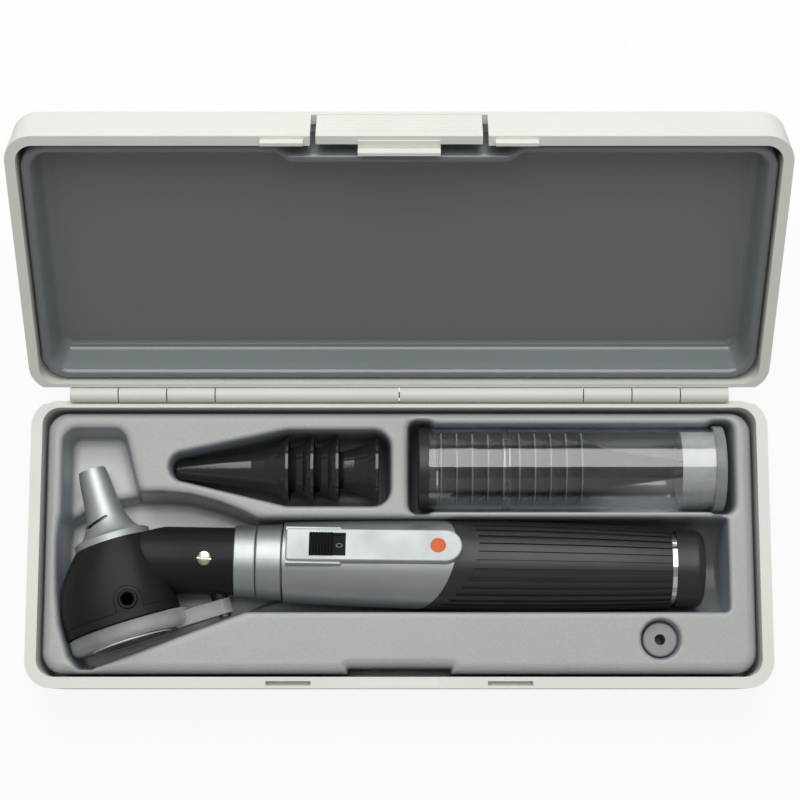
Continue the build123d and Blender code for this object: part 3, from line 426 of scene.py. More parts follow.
@dataclass(frozen=True)
class Milky(Finish):
    """Thin clear plastic that turns milky towards its edges. Sizes are in metres."""

    colour: Colour
    cover: float
    edge_cover: float
    roughness: float = 0.12
    blend: float = 0.45
    edge: Pair = (0.1, 0.95)
    scuff: float = 0.004
    scuff_roughness: float = 0.12
    scuff_cover: float = 0.06

    def build(self) -> bpy.types.Material:
        """Makes the material.

        Returns:
            The material.
        """
        shader = self.shader()
        scuff = shader.noise(self.scuff, detail=3.0)
        cover = shader.glancing(self.blend).over(*self.edge, self.cover, self.edge_cover)
        most = self.roughness + self.scuff_roughness
        return shader.surface(
            {
                "Base Color": self.colour.rgba(),
                "Roughness": scuff.over(*EVEN, self.roughness, most),
                "Alpha": cover + scuff.over(*PATCHY) * self.scuff_cover,
            }
        )


@dataclass(frozen=True)
class Clear(Finish):
    """Clear plastic or glass, with haze and fine scuffs. Sizes are in metres."""

    colour: Colour
    roughness: float
    haze: float
    index: float
    hazy: Pair = (0.2, 0.55)
    scuff: float = 0.0015
    scuff_depth: float = 0.000004
    cloud: float = 0.012

    def build(self) -> bpy.types.Material:
        """Makes the material.

        Returns:
            The material.
        """
        shader = self.shader()
        scuff = shader.noise(self.scuff, detail=4.0)
        cloud = shader.noise(self.cloud, detail=2.0)
        most = self.roughness + self.haze
        return shader.surface(
            {
                "Base Color": self.colour.rgba(),
                "Roughness": (scuff * cloud).over(*self.hazy, self.roughness, most),
                "IOR": self.index,
                "Transmission Weight": 1.0,
                "Normal": shader.bump(scuff, self.scuff_depth),
            },
            lets_light_in=True,
        )


class Finishes(Enum):
    """The finishes of the object's pieces."""

    CASE = Moulded("case_shell_plastic", Colour(228, 230, 222), Colour(224, 226, 218), 0.42)
    TRAY = PressedSheet(
        "tray_sheet_grey",
        colour=Colour(176, 178, 175),
        shade=Colour(165, 168, 166),
        # Painted shade on the tray's walls.
        painted_wall_shading=Colour(134, 143, 149),
        # Painted light on the tray's deep well floors.
        deep=Colour(222, 224, 221),
        level=0.0195,
        fall=0.008,
        # Painted shade on deep floors right of this place along x and towards the back.
        painted_shade_start=-0.06,
    )
    LINER = PressedSheet(
        "liner_sheet_grey",
        # Darker than the tray's sheet; this darkness is partly painted shade.
        colour=Colour(112, 117, 117),
        shade=Colour(104, 110, 111),
        # Painted light on the liner's walls.
        painted_wall_shading=Colour(122, 130, 133),
        deep=Colour(112, 117, 117),
        level=0.0,
        fall=0.01,
        coat=0.8,
        upward=(0.0, -math.sqrt(0.5), math.sqrt(0.5)),
    )
    BLACK = Moulded(
        "black_moulded", Colour(42, 41, 40), Colour(35, 34, 34), 0.4, 0.00022, 0.000012
    )
    HEAD = Moulded(
        "head_charcoal", Colour(36, 35, 34), Colour(30, 29, 29), 0.4, 0.0002, 0.000008, gloss=0.16
    )
    GLOSS = Moulded(
        "specula_gloss", Colour(33, 32, 32), Colour(39, 38, 38), 0.12, 0.001, 0.00001, 0.01, 0.6
    )
    SWITCH = Moulded("switch_black", Colour(18, 18, 18), Colour(13, 13, 13), 0.34, gloss=0.08)
    SMOKE = Milky("specula_smoke", Colour(54, 58, 60), 0.3, 0.92)
    # Painted highlight: a light grey for rings that stand in for light catching the specula's
    # rims.
    RIM = Milky("specula_rim_highlight", Colour(140, 144, 146), 0.4, 0.9)
    SATIN = Metal("satin_silver", Colour(182, 186, 186), Colour(174, 179, 179), 0.44, 0.95)
    HOLDER = Metal("holder_silver", Colour(196, 200, 199), Colour(188, 193, 193), 0.5, 0.8)
    CLIP = Metal("clip_silver", Colour(184, 189, 188), Colour(177, 182, 182), 0.48, 0.55)
    BRIGHT = Metal("bright_metal", Colour(222, 222, 218), Colour(208, 208, 204), 0.14)
    STEEL = Metal("pin_steel", Colour(112, 112, 110), Colour(100, 100, 99), 0.5)
    BRASS = Metal("contact_brass", Colour(205, 170, 100), Colour(186, 150, 84), 0.25)
    SCREW = Metal("screw_nickel", Colour(226, 219, 200), Colour(212, 204, 182), 0.24)
    CELL = Moulded("cell_jacket", Colour(60, 66, 74), Colour(50, 56, 64), 0.3)
    WINDOW = Milky("window_clear", Colour(184, 189, 189), 0.42, 0.85, 0.3)
    # Painted highlight: near white for a ring that stands in for the key light's reflection at
    # the lens's rear opening.
    BEAD = Milky("window_highlight_ring", Colour(236, 238, 238), 0.9, 1.0)
    LENS = Clear("lens_glass", Colour(250, 252, 252), 0.01, 0.01, 1.52)
    TUBE = Clear("tube_clear", Colour(246, 248, 249), 0.02, 0.04, 1.59)
    PLUG = Milky("plug_frosted", Colour(168, 172, 172), 0.6, 0.95, 0.25)
    ADAPTER = Moulded("adapter_grey", Colour(150, 153, 154), Colour(138, 141, 143), 0.38)
    ORANGE = Moulded("orange_mark", Colour(222, 104, 34), Colour(212, 94, 28), 0.4, gloss=0.3)
    MARK = Moulded("grey_mark", Colour(120, 122, 124), Colour(110, 112, 114), 0.4)

    def material(self) -> bpy.types.Material:
        """The finish's material, made once."""
        found = bpy.data.materials.get(self.value.name)
        return found or self.value.build()


# ---------------- mesh help
# Edges sharper than this many degrees stay sharp.
CRISP = 40.0
DOMED = 50.0
PRESSED = 75.0
# How an edge or a corner is rounded off.
ROUND = {"segments": 3, "profile": 0.5, "material": -1}


@dataclass(frozen=True)
class Part:
    """How a new piece is entered: its name, body, finish and slot, and what it replaces."""

    name: str
    body: str
    finish: Finishes
    slot: str
    replaces: tuple[str, ...] = ()

    def enter(self, shape: bmesh.types.BMesh, smooth_angle: float = CRISP) -> None:
        """Turns a closed shape in millimetres into a piece of the object.

        Args:
            shape: The shape, which is freed.
            smooth_angle: Edges sharper than this many degrees stay sharp.
        """
        bmesh.ops.recalc_face_normals(shape, faces=shape.faces)
        bmesh.ops.scale(shape, vec=(MM, MM, MM), verts=shape.verts)
        limit = math.radians(smooth_angle)
        for face in shape.faces:
            face.smooth = True
        for edge in shape.edges:
            edge.smooth = edge.calc_face_angle(0.0) < limit
        mesh = bpy.data.meshes.new(self.name)
        shape.to_mesh(mesh)
        shape.free()
        mesh.materials.append(self.finish.material())
        piece = placed(self.name, mesh)
        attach(piece, self.body)
        if self.replaces:
            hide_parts(*self.replaces)
        log.info("%s rides on %s, %d faces", self.name, self.body, len(mesh.polygons))


def placed(name: str, data: bpy.types.ID) -> bpy.types.Object:
    """Puts something new at the origin of the scene.

    Args:
        name: Its name.
        data: Its mesh, lamp or camera.

    Returns:
        The new object.
    """
    made = bpy.data.objects.new(name, data)
    bpy.context.scene.collection.objects.link(made)
    return made


def new_verts(grown: dict[str, list]) -> list[bmesh.types.BMVert]:
    """The vertices that an extrusion made."""
    return [part for part in grown["geom"] if isinstance(part, bmesh.types.BMVert)]


def box_distance(x: Places, y: Places, low: Pair, high: Pair, radius: float) -> Places:
    """Signed distance to a rounded rectangle.

    Args:
        x: Places along x.
        y: Places along y.
        low: Its corner with the least x and y.
        high: The opposite corner.
        radius: Corner radius.

    Returns:
        The distances, below zero inside.
    """
    dx = np.maximum(low[0] - x, x - high[0]) + radius
    dy = np.maximum(low[1] - y, y - high[1]) + radius
    outside = np.hypot(np.maximum(dx, 0.0), np.maximum(dy, 0.0))
    return outside + np.minimum(np.maximum(dx, dy), 0.0) - radius


def polygon_distance(x: Places, y: Places, corners: Corners) -> Places:
    """Signed distance to a polygon.

    Args:
        x: Places along x.
        y: Places along y.
        corners: The polygon's corners in order.

    Returns:
        The distances, below zero inside.
    """
    best = np.full(x.shape, np.inf)
    inside = np.zeros(x.shape, bool)
    px, py = corners[-1]
    for cx, cy in corners:
        ex, ey = cx - px, cy - py
        wx, wy = x - px, y - py
        share = np.clip((wx * ex + wy * ey) / (ex * ex + ey * ey), 0.0, 1.0)
        best = np.minimum(best, np.hypot(wx - ex * share, wy - ey * share))
        if cy != py:
            crossing = (px - cx) * (y - cy) / (py - cy) + cx
            inside ^= ((cy > y) != (py > y)) & (x < crossing)
        px, py = cx, cy
    return np.where(inside, -best, best)


def smooth_least(first: Places, second: Places, blend: float) -> Places:
    """The lesser of two fields, with the step between them rounded off.

    Args:
        first: One field.
        second: The other field.
        blend: How close the values are when the rounding starts.

    Returns:
        The rounded lesser values.
    """
    near = np.maximum(blend - np.abs(first - second), 0.0) / blend
    return np.minimum(first, second) - near * near * blend / 4


@dataclass(frozen=True)
class Drop:
    """How a sheet turns down from a land into a well: rounded shoulder, drafted wall, fillet.

    Args:
        shoulder: Radius of the shoulder.
        lean: How far the wall leans in over its height.
        fillet: Radius of the fillet at the floor.
        shallow: The share of a shallow well's depth that its shoulder takes at most.
    """

    shoulder: float
    lean: float
    fillet: float
    shallow: float = 0.6

    def carve(self, top: Places, outside: Places, floor: Places | float) -> Places:
        """Height of the sheet near the edge of a well.

        Args:
            top: Height of the land around the well.
            outside: Signed distance to the well's edge, below zero in the well.
            floor: Height of the well's floor.

        Returns:
            The heights.
        """
        least_depth = 1e-6
        depth = np.maximum(top - floor, least_depth)
        shoulder = np.minimum(self.shoulder, depth * self.shallow)
        fillet = np.minimum(self.fillet, depth - shoulder)
        across = np.clip(shoulder - outside, 0.0, shoulder)
        rounded = top - shoulder + np.sqrt(np.maximum(shoulder**2 - across**2, 0.0))
        share = np.clip(outside / self.lean, -1.0, 0.0)
        wall = top - shoulder + share * (depth - shoulder - fillet)
        along = np.clip(outside + self.lean + fillet, 0.0, fillet)
        foot = floor + fillet - np.sqrt(np.maximum(fillet**2 - along**2, 0.0))
        carved = np.where(outside >= 0, rounded, np.where(outside > -self.lean, wall, foot))
        return np.where(top > floor, carved, top)


@dataclass(frozen=True)
class Trough:
    """A round-bottomed well that lies along x.

    Args:
        axis: Where its axis lies, as y and z.
        radius: Its radius.
        start: Where it starts along x.
        end: Where it ends along x.
        corner: Corner radius of its outline.
    """

    axis: Pair
    radius: float
    start: float
    end: float
    corner: float

    def edge(self, x: Places, y: Places) -> Places:
        """Signed distance to its outline."""
        low, high = self.axis[0] - self.radius, self.axis[0] + self.radius
        return box_distance(x, y, (self.start, low), (self.end, high), self.corner)

    def nearer_end(self, x: Places) -> Places:
        """Place along x of its nearer end."""
        return np.where(x < (self.start + self.end) / 2, self.start, self.end)

    def floor(self, y: Places) -> Places:
        """Height of its round bottom."""
        across = np.minimum(np.abs(y - self.axis[0]), self.radius)
        return self.axis[1] - np.sqrt(self.radius**2 - across**2)


@dataclass
class Relief:
    """A fine sheet whose height follows a field, cut along an outline and closed below.

    Args:
        part: How it is entered.
        smooth_angle: Edges sharper than this many degrees stay sharp.
        low: The corner of its grid with the least x and y.
        high: The opposite corner.
        base: Height of its flat underside.
        step: Size of the grid's cells.
        snap: The share of a cell from which points are moved onto an edge.
        slack: How far inside the outline a point still counts as outside.
        probe: The step over which a field's slope is measured.
        passes: How often a point is moved towards an edge.
    """

    part: Part
    smooth_angle: float
    low: Pair
    high: Pair
    base: float
    step: float
    snap: float = 0.32
    slack: float = 0.03
    probe: float = 0.02
    passes: int = 3

    def outline(self, x: Places, y: Places) -> Places:
        """Signed distance to the sheet's outline."""
        raise NotImplementedError

    def height(self, x: Places, y: Places) -> Places:
        """Height of the sheet's upper face."""
        raise NotImplementedError

    def edges(self) -> list[Field]:
        """Signed distances to the edges that the sheet's points are moved onto."""
        raise NotImplementedError

    def fold(self) -> Matrix:
        """The turn that puts the finished sheet in place."""
        return Matrix.Identity(4)

    def _onto(self, places: Places, chosen: Places, distance: Field) -> None:
        """Moves some points across the sheet onto an edge.

        Args:
            places: The points' x and y, which are changed.
            chosen: Which points to move.
            distance: The edge's distance field.
        """
        least_slope = 1e-9
        for _ in range(self.passes):
            x, y = places[chosen, 0], places[chosen, 1]
            slope_x = distance(x + self.probe, y) - distance(x - self.probe, y)
            slope_y = distance(x, y + self.probe) - distance(x, y - self.probe)
            size = np.maximum(np.hypot(slope_x, slope_y), least_slope)
            gap = distance(x, y)
            places[chosen, 0] = x - gap * slope_x / size
            places[chosen, 1] = y - gap * slope_y / size

    def build(self) -> None:
        """Makes the sheet and puts it in place of its plain node."""
        shape = bmesh.new()
        length, width = self.high[0] - self.low[0], self.high[1] - self.low[1]
        cells = (round(length / self.step), round(width / self.step))
        bmesh.ops.create_grid(shape, x_segments=cells[0], y_segments=cells[1], size=0.5)
        bmesh.ops.scale(shape, vec=(length, width, 1.0), verts=shape.verts)
        centre = ((self.low[0] + self.high[0]) / 2, (self.low[1] + self.high[1]) / 2, 0.0)
        bmesh.ops.translate(shape, vec=centre, verts=shape.verts)
        places = np.array([vert.co.xy for vert in shape.verts])
        outer = self.outline(places[:, 0], places[:, 1]) > -self.slack
        self._onto(places, outer, self.outline)
        free = ~outer
        for edge in self.edges():
            near = np.abs(edge(places[:, 0], places[:, 1])) < self.step * self.snap
            self._onto(places, free & near, edge)
            free &= ~near
        levels = self.height(places[:, 0], places[:, 1])
        away = [face for face in shape.faces if all(outer[vert.index] for vert in face.verts)]
        for vert, (x, y), z in zip(shape.verts, places, levels):
            vert.co = (x, y, z)
        bmesh.ops.delete(shape, geom=away, context="FACES")
        rim = [edge for edge in shape.edges if edge.is_boundary]
        for vert in new_verts(bmesh.ops.extrude_edge_only(shape, edges=rim)):
            vert.co.z = self.base
        open_edges = [edge for edge in shape.edges if edge.is_boundary]
        bmesh.ops.contextual_create(shape, geom=open_edges)
        bmesh.ops.transform(shape, matrix=self.fold(), verts=shape.verts)
        self.part.enter(shape, self.smooth_angle)


# ---------------- the pressed tray
@dataclass
class Tray(Relief):
    """The grey tray that holds every item in its own well."""

    part: Part = Part("tray_sheet", "base", Finishes.TRAY, "tray_sheet", ("tray_insert",))
    smooth_angle: float = PRESSED
    low: Pair = (-91.1, -32.65)
    high: Pair = (91.1, 34.6)
    base: float = 1.6
    step: float = 0.42
    top: float = 21.0
    corner: float = 5.5
    rim_round: float = 2.4
    notch_half: float = 13.3
    notch_depth: float = 1.4
    notch_reach: float = 5.4
    notch_corner: float = 0.4
    head_corners: Corners = (
        (-86.5, 6.3), (-81.5, 9.6), (-75.5, 11.9), (-68.5, 13.1), (-61.0, 13.2),
        (-54.0, 12.5), (-47.0, 10.7), (-40.5, 8.2), (-34.0, 5.2), (-28.0, -1.0),
        (-31.0, -13.2), (-78.6, -30.9), (-81.4, -30.9), (-83.7, -28.0), (-86.0, -20.0),
        (-86.9, -12.0), (-87.2, -4.0), (-87.1, 2.0),
    )
    head_round: float = 0.6
    head_floor: float = 2.4
    speculum_corners: Corners = ((-83.3, 0.0), (-83.3, 26.6), (-74.2, 26.6), (-67.2, 0.0))
    speculum_round: float = 3.6
    speculum_floor: float = 8.0
    stack_corners: Corners = (
        (-55.5, 20.4), (-28.5, 25.25), (-6.9, 25.25), (-6.9, 14.75), (-28.5, 14.75),
    )
    stack_tip: float = -55.5
    stack_taper: float = 27.0
    stack_round: float = 3.7
    stack_flare: float = 0.8
    stack_floor: float = 3.4
    handle: Trough = Trough((-4.95, 14.7), 12.1, -46.0, 84.4, 1.2)
    tube: Trough = Trough((20.1, 14.85), 11.4, 5.8, 82.9, 0.5)
    ear_low: Pair = (-3.45, 8.2)
    ear_high: Pair = (3.45, 32.4)
    ear_corner: float = 2.5
    ear_floor: float = 2.7
    adapter_centre: Pair = (66.6, -24.0)
    adapter_radius: float = 5.0
    adapter_ledge: float = 15.4
    adapter_floor: float = 7.9
    nozzle_inset: float = 1.4
    drop: Drop = Drop(2.3, 0.8, 2.3)
    small_drop: Drop = Drop(1.6, 0.4, 1.2)
    nozzle_drop: Drop = Drop(0.4, 0.3, 0.5)
    blend: float = 1.2

    def outline(self, x: Places, y: Places) -> Places:
        """Signed distance to the tray's outline, which has a notch behind the latch.

        Args:
            x: Places along x.
            y: Places along y.

        Returns:
            The distances, below zero inside.
        """
        edge = box_distance(x, y, self.low, self.high, self.corner)
        low = (-self.notch_half, self.low[1] - self.notch_reach)
        high = (self.notch_half, self.low[1] + self.notch_depth)
        return np.maximum(edge, -box_distance(x, y, low, high, self.notch_corner))

    def head_edge(self, x: Places, y: Places) -> Places:
        """Signed distance to the well of the otoscope's head."""
        return polygon_distance(x, y, self.head_corners) - self.head_round

    def speculum_edge(self, x: Places, y: Places) -> Places:
        """Signed distance to the well of the speculum holder."""
        return polygon_distance(x, y, self.speculum_corners) - self.speculum_round

    def stack_edge(self, x: Places, y: Places) -> Places:
        """Signed distance to the well of the stacked specula, which is rounder behind."""
        flare = self.stack_flare * np.clip((x - self.stack_tip) / self.stack_taper, 0.0, 1.0)
        return polygon_distance(x, y, self.stack_corners) - self.stack_round - flare

    def ear_edge(self, x: Places, y: Places) -> Places:
        """Signed distance to the deeper ends under the tube's caps."""
        along = x - self.tube.nearer_end(x)
        return box_distance(along, y, self.ear_low, self.ear_high, self.ear_corner)

    def ledge_edge(self, x: Places, y: Places) -> Places:
        """Signed distance to the recess of the adapter's disc."""
        centre_x, centre_y = self.adapter_centre
        return np.hypot(x - centre_x, y - centre_y) - self.adapter_radius

    def nozzle_edge(self, x: Places, y: Places) -> Places:
        """Signed distance to the well of the adapter's nozzle."""
        return self.ledge_edge(x, y) + self.nozzle_inset

    def height(self, x: Places, y: Places) -> Places:
        """Height of the tray's upper face.

        Args:
            x: Places along x.
            y: Places along y.

        Returns:
            The heights.
        """
        inset = np.clip(self.rim_round + self.outline(x, y), 0.0, self.rim_round)
        land = self.top - self.rim_round + np.sqrt(self.rim_round**2 - inset**2)
        level = self.drop.carve(land, self.speculum_edge(x, y), self.speculum_floor)
        level = self.drop.carve(level, self.head_edge(x, y), self.head_floor)
        for trough in (self.handle, self.tube):
            carved = self.small_drop.carve(land, trough.edge(x, y), trough.floor(y))
            level = smooth_least(level, carved, self.blend)
        ear = self.drop.carve(land, self.ear_edge(x, y), self.ear_floor)
        level = smooth_least(level, ear, self.blend)
        stack = self.drop.carve(land, self.stack_edge(x, y), self.stack_floor)
        adapter = self.small_drop.carve(land, self.ledge_edge(x, y), self.adapter_ledge)
        adapter = self.nozzle_drop.carve(adapter, self.nozzle_edge(x, y), self.adapter_floor)
        return np.minimum(level, np.minimum(stack, adapter))

    def edges(self) -> list[Field]:
        """Signed distances to the edges of all its wells."""
        deep = [self.speculum_edge, self.head_edge, self.handle.edge, self.ear_edge]
        return deep + [self.tube.edge, self.stack_edge, self.ledge_edge, self.nozzle_edge]


# ---------------- the lid's liner
@dataclass
class Liner(Relief):
    """The pressed sheet inside the lid, built shut: a rounded bead round a shallow dish."""

    part: Part = Part("liner_sheet", "lid", Finishes.LINER, "liner_sheet", ("lid_liner",))
    smooth_angle: float = PRESSED
    low: Pair = (-91.7, -33.25)
    high: Pair = (91.7, 34.85)
    base: float = -13.05
    step: float = 0.45
    hinge_y: float = 38.8
    hinge_z: float = 22.1
    lean: float = 135.0
    corner: float = 7.0
    rim: float = 1.4
    bead: float = 2.7
    bead_round: float = 1.2
    dish: float = 11.0
    foot_height: float = 0.7
    foot_width: float = 2.3
    relief_inner: float = 26.2
    relief_outer: float = 30.5
    relief_depth: float = 2.6
    wall: Drop = Drop(1.9, 1.1, 0.5)
    foot: Drop = Drop(0.3, 0.15, 0.35)

    def outline(self, x: Places, y: Places) -> Places:
        """Signed distance to the liner's outline, which steps in behind the latch.

        Args:
            x: Places along x.
            y: Places along y.

        Returns:
            The distances, below zero inside.
        """
        edge = box_distance(x, y, self.low, self.high, self.corner)
        share = (self.relief_outer - np.abs(x)) / (self.relief_outer - self.relief_inner)
        share = np.clip(share, 0.0, 1.0)
        eased = share * share * (3 - 2 * share)
        return np.maximum(edge, self.low[1] + self.relief_depth * eased - y)

    def dish_edge(self, x: Places, y: Places) -> Places:
        """Signed distance to the dish inside the bead."""
        return self.outline(x, y) + self.bead

    def foot_edge(self, x: Places, y: Places) -> Places:
        """Signed distance to the small step at the foot of the dish's wall."""
        return self.dish_edge(x, y) + self.foot_width

    def height(self, x: Places, y: Places) -> Places:
        """Height of the sheet, which is below zero where it is deeper in the lid.

        Args:
            x: Places along x.
            y: Places along y.

        Returns:
            The heights.
        """
        inset = np.clip(self.outline(x, y) + self.bead_round, 0.0, self.bead_round)
        land = np.sqrt(self.bead_round**2 - inset**2) - self.bead_round - self.rim
        level = self.wall.carve(land, self.dish_edge(x, y), self.foot_height - self.dish)
        return self.foot.carve(level, self.foot_edge(x, y), -self.dish)

    def edges(self) -> list[Field]:
        """Signed distances to the edges of the dish and its foot."""
        return [self.dish_edge, self.foot_edge]

    def fold(self) -> Matrix:
        """The turn that lays the sheet back with the open lid.

        Returns:
            The turn, which also swaps the sheet's two sides.
        """
        return (
            Matrix.Translation((0.0, self.hinge_y, self.hinge_z))
            @ Matrix.Rotation(-math.radians(self.lean), 4, "X")
            @ Matrix.Diagonal((1.0, 1.0, -1.0, 1.0))
            @ Matrix.Translation((0.0, -self.hinge_y, 0.0))
        )


# ---------------- carried-over nodes
@dataclass
class Dressing:
    """Gives every node that stays in view its finish, by how the node's name starts."""

    finishes: dict[Finishes, tuple[str, ...]]

    def build(self, nodes: dict[str, bpy.types.Object]) -> None:
        """Puts a material on each node.

        Args:
            nodes: The nodes by name.
        """
        for finish, starts in self.finishes.items():
            for name, node in nodes.items():
                if name.startswith(starts):
                    for place in node.material_slots:
                        place.material = finish.material()
                    log.info("%s is dressed in %s", name, finish.name)


DRESSING = Dressing(
    {
        Finishes.CASE: ("base_shell", "lid_shell", "latch_tongue"),
        Finishes.TRAY: ("tray_insert",),
        Finishes.LINER: ("lid_liner",),
        Finishes.STEEL: ("hinge_pin", "end_spring", "window_pivot_pin"),
        Finishes.BLACK: ("handle_grip", "end_cap", "tube_end_cap"),
        Finishes.SWITCH: ("switch_",),
        Finishes.HEAD: ("head_", "insufflation_port"),
        Finishes.SATIN: ("handle_body", "collar_", "light_guide", "led_"),
        Finishes.HOLDER: ("speculum_holder",),
        Finishes.CLIP: ("clip_plate",),
        Finishes.BRIGHT: ("grip_ring",),
        Finishes.SCREW: ("neck_screw",),
        Finishes.BRASS: ("contact_",),
        Finishes.CELL: ("battery_",),
        Finishes.WINDOW: ("window_frame",),
        Finishes.LENS: ("window_lens",),
        Finishes.TUBE: ("tube_wall",),
        Finishes.PLUG: ("tube_plug",),
        Finishes.GLOSS: ("reusable_",),
        Finishes.SMOKE: ("disposable_",),
        Finishes.ADAPTER: ("insufflation_adapter",),
    }
)


# ---------------- small marks
@dataclass
class ClipPlate:
    """The orange dot, the zero and the ribbed slider on the handle's clip plate."""

    origin: Triple = (-30.0, -3.9, 14.7)
    skew: float = -0.93
    roll: float = 17.5
    front_height: float = 12.3
    rise: float = 0.6 / 44.9
    clip_start: float = 1.1
    recess: float = 0.85
    dot_x: float = 39.8
    dot_radius: float = 2.0
    dot_steps: int = 48
    dot_height: float = 0.22
    dot_bevel: float = 0.12
    dot_sink: float = 0.14
    zero_x: float = 14.7
    zero_radius: float = 0.62
    zero_steps: int = 40
    zero_hole: float = 0.74
    zero_height: float = 0.06
    zero_stretch: Pair = (1.35, 0.95)
    zero_sink: float = 0.01
    slider_x: float = 10.05
    slider_length: float = 6.0
    slider_half_width: float = 3.12
    slider_bottom: float = -0.7
    rib_count: int = 8
    rib_steps: int = 8
    rib_foot: float = 0.2
    rib_height: float = 0.3
    rib_share: float = 0.68

    def _place(self, shape: bmesh.types.BMesh, along: float, lift: float) -> None:
        """Moves a flat shape onto the clip plate.

        Args:
            shape: The shape, drawn flat round the origin.
            along: Distance along the handle's axis.
            lift: Height over the plate's face.
        """
        height = self.front_height + (along - self.clip_start) * self.rise + lift
        move = (
            Matrix.Translation(self.origin)
            @ Matrix.Rotation(math.radians(self.skew), 4, "Z")
            @ Matrix.Rotation(math.radians(-self.roll), 4, "X")
            @ Matrix.Translation((along, 0.0, height))
            @ Matrix.Rotation(-math.atan(self.rise), 4, "Y")
        )
        bmesh.ops.transform(shape, matrix=move, verts=shape.verts)

    def _dot(self) -> None:
        """Makes the domed orange dot."""
        shape = bmesh.new()
        steps, radius = self.dot_steps, self.dot_radius
        bmesh.ops.create_circle(shape, cap_ends=True, segments=steps, radius=radius)
        raised = new_verts(bmesh.ops.extrude_face_region(shape, geom=shape.faces[:]))
        bmesh.ops.translate(shape, vec=(0.0, 0.0, self.dot_height), verts=raised)
        rim = [edge for edge in shape.edges if all(vert in raised for vert in edge.verts)]
        bmesh.ops.bevel(shape, geom=rim, offset=self.dot_bevel, affect="EDGES", **ROUND)
        self._place(shape, self.dot_x, -self.dot_sink)
        Part("orange_dot", "otoscope", Finishes.ORANGE, "gloss_black").enter(shape)

    def _zero(self) -> None:
        """Makes the raised oval zero on the switch panel."""
        shape = bmesh.new()
        bmesh.ops.create_circle(shape, segments=self.zero_steps, radius=self.zero_radius)
        inside = new_verts(bmesh.ops.extrude_edge_only(shape, edges=shape.edges[:]))
        bmesh.ops.scale(shape, vec=(self.zero_hole, self.zero_hole, 1.0), verts=inside)
        raised = new_verts(bmesh.ops.extrude_face_region(shape, geom=shape.faces[:]))
        bmesh.ops.translate(shape, vec=(0.0, 0.0, self.zero_height), verts=raised)
        bmesh.ops.scale(shape, vec=(*self.zero_stretch, 1.0), verts=shape.verts)
        self._place(shape, self.zero_x, -self.recess - self.zero_sink)
        Part("panel_zero", "otoscope", Finishes.MARK, "black_plastic").enter(shape)

    def _slider(self) -> None:
        """Makes the slider, with rounded ribs across it, in place of its plain node."""
        pitch = self.slider_length / self.rib_count
        half = self.slider_length / 2
        outline = [(-half, self.slider_bottom), (-half, self.rib_foot)]
        for rib in range(self.rib_count):
            middle = (rib + 0.5) * pitch - half
            for step in range(self.rib_steps + 1):
                angle = math.pi * (1 - step / self.rib_steps)
                along = middle + math.cos(angle) * pitch * self.rib_share / 2
                outline.append((along, self.rib_foot + math.sin(angle) * self.rib_height))
        outline += [(half, self.rib_foot), (half, self.slider_bottom)]
        shape = bmesh.new()
        side = [shape.verts.new((x, -self.slider_half_width, z)) for x, z in outline]
        shape.faces.new(side)
        far = new_verts(bmesh.ops.extrude_face_region(shape, geom=shape.faces[:]))
        bmesh.ops.translate(shape, vec=(0.0, 2 * self.slider_half_width, 0.0), verts=far)
        self._place(shape, self.slider_x, 0.0)
        finish, slot = Finishes.SWITCH, "black_plastic"
        Part("ribbed_slider", "switch", finish, slot, ("switch_slider",)).enter(shape)

    def build(self) -> None:
        """Makes the marks and the slider."""
        self._dot()
        self._zero()
        self._slider()


@dataclass
class NeckScrew(Relief):
    """The domed, slotted screw in the neck."""

    part: Part = Part(
        "neck_screw_head", "otoscope", Finishes.SCREW, "bright_metal", ("neck_screw",)
    )
    smooth_angle: float = DOMED
    low: Pair = (-51.84, -5.58)
    high: Pair = (-47.84, -1.58)
    base: float = 22.45
    step: float = 0.1
    centre: Pair = (-49.84, -3.58)
    top: float = 23.45
    radius: float = 1.9
    dome: float = 0.45
    slot_half: float = 0.22
    slot_depth: float = 0.85
    turn: float = math.radians(-6.0)
    slot_slack: float = 0.02

    def outline(self, x: Places, y: Places) -> Places:
        """Signed distance to the screw's round edge."""
        return np.hypot(x - self.centre[0], y - self.centre[1]) - self.radius

    def slot_edge(self, x: Places, y: Places) -> Places:
        """Signed distance to the slot's sides."""
        dx, dy = x - self.centre[0], y - self.centre[1]
        return np.abs(dy * math.cos(self.turn) - dx * math.sin(self.turn)) - self.slot_half

    def height(self, x: Places, y: Places) -> Places:
        """Height of the dome, cut down in the slot."""
        dome = self.top - self.dome * (self.outline(x, y) / self.radius + 1.0) ** 2
        return np.where(self.slot_edge(x, y) < -self.slot_slack, self.top - self.slot_depth, dome)

    def edges(self) -> list[Field]:
        """Signed distance to the slot's sides."""
        return [self.slot_edge]


@dataclass(frozen=True)
class Ring:
    """A plain ring with rounded edges, turned about the X axis and then put in place.

    Args:
        part: How it is entered.
        span: Where it starts and ends along its axis.
        radii: Its inner and outer radius.
        place: The turn and shift that put it in place.
        rounding: The share of its thinner side that each rounded edge takes.
        steps: How many flats it has round its axis.
    """

    part: Part
    span: Pair
    radii: Pair
    place: Matrix
    rounding: float = 0.3
    steps: int = 96

    def build(self) -> None:
        """Spins the ring's section round its axis and enters it."""
        shape = bmesh.new()
        (start, end), (inner, outer) = self.span, self.radii
        section = ((start, inner), (end, inner), (end, outer), (start, outer))
        corners = [shape.verts.new((along, 0.0, radius)) for along, radius in section]
        for first, second in zip(corners, corners[1:] + corners[:1]):
            shape.edges.new((first, second))
        offset = self.rounding * min(end - start, outer - inner)
        bmesh.ops.bevel(shape, geom=corners, offset=offset, affect="VERTICES", **ROUND)
        bmesh.ops.spin(
            shape,
            geom=shape.verts[:] + shape.edges[:],
            axis=(1.0, 0.0, 0.0),
            angle=math.tau,
            steps=self.steps,
            use_merge=True,
        )
        bmesh.ops.transform(shape, matrix=self.place, verts=shape.verts)
        self.part.enter(shape)


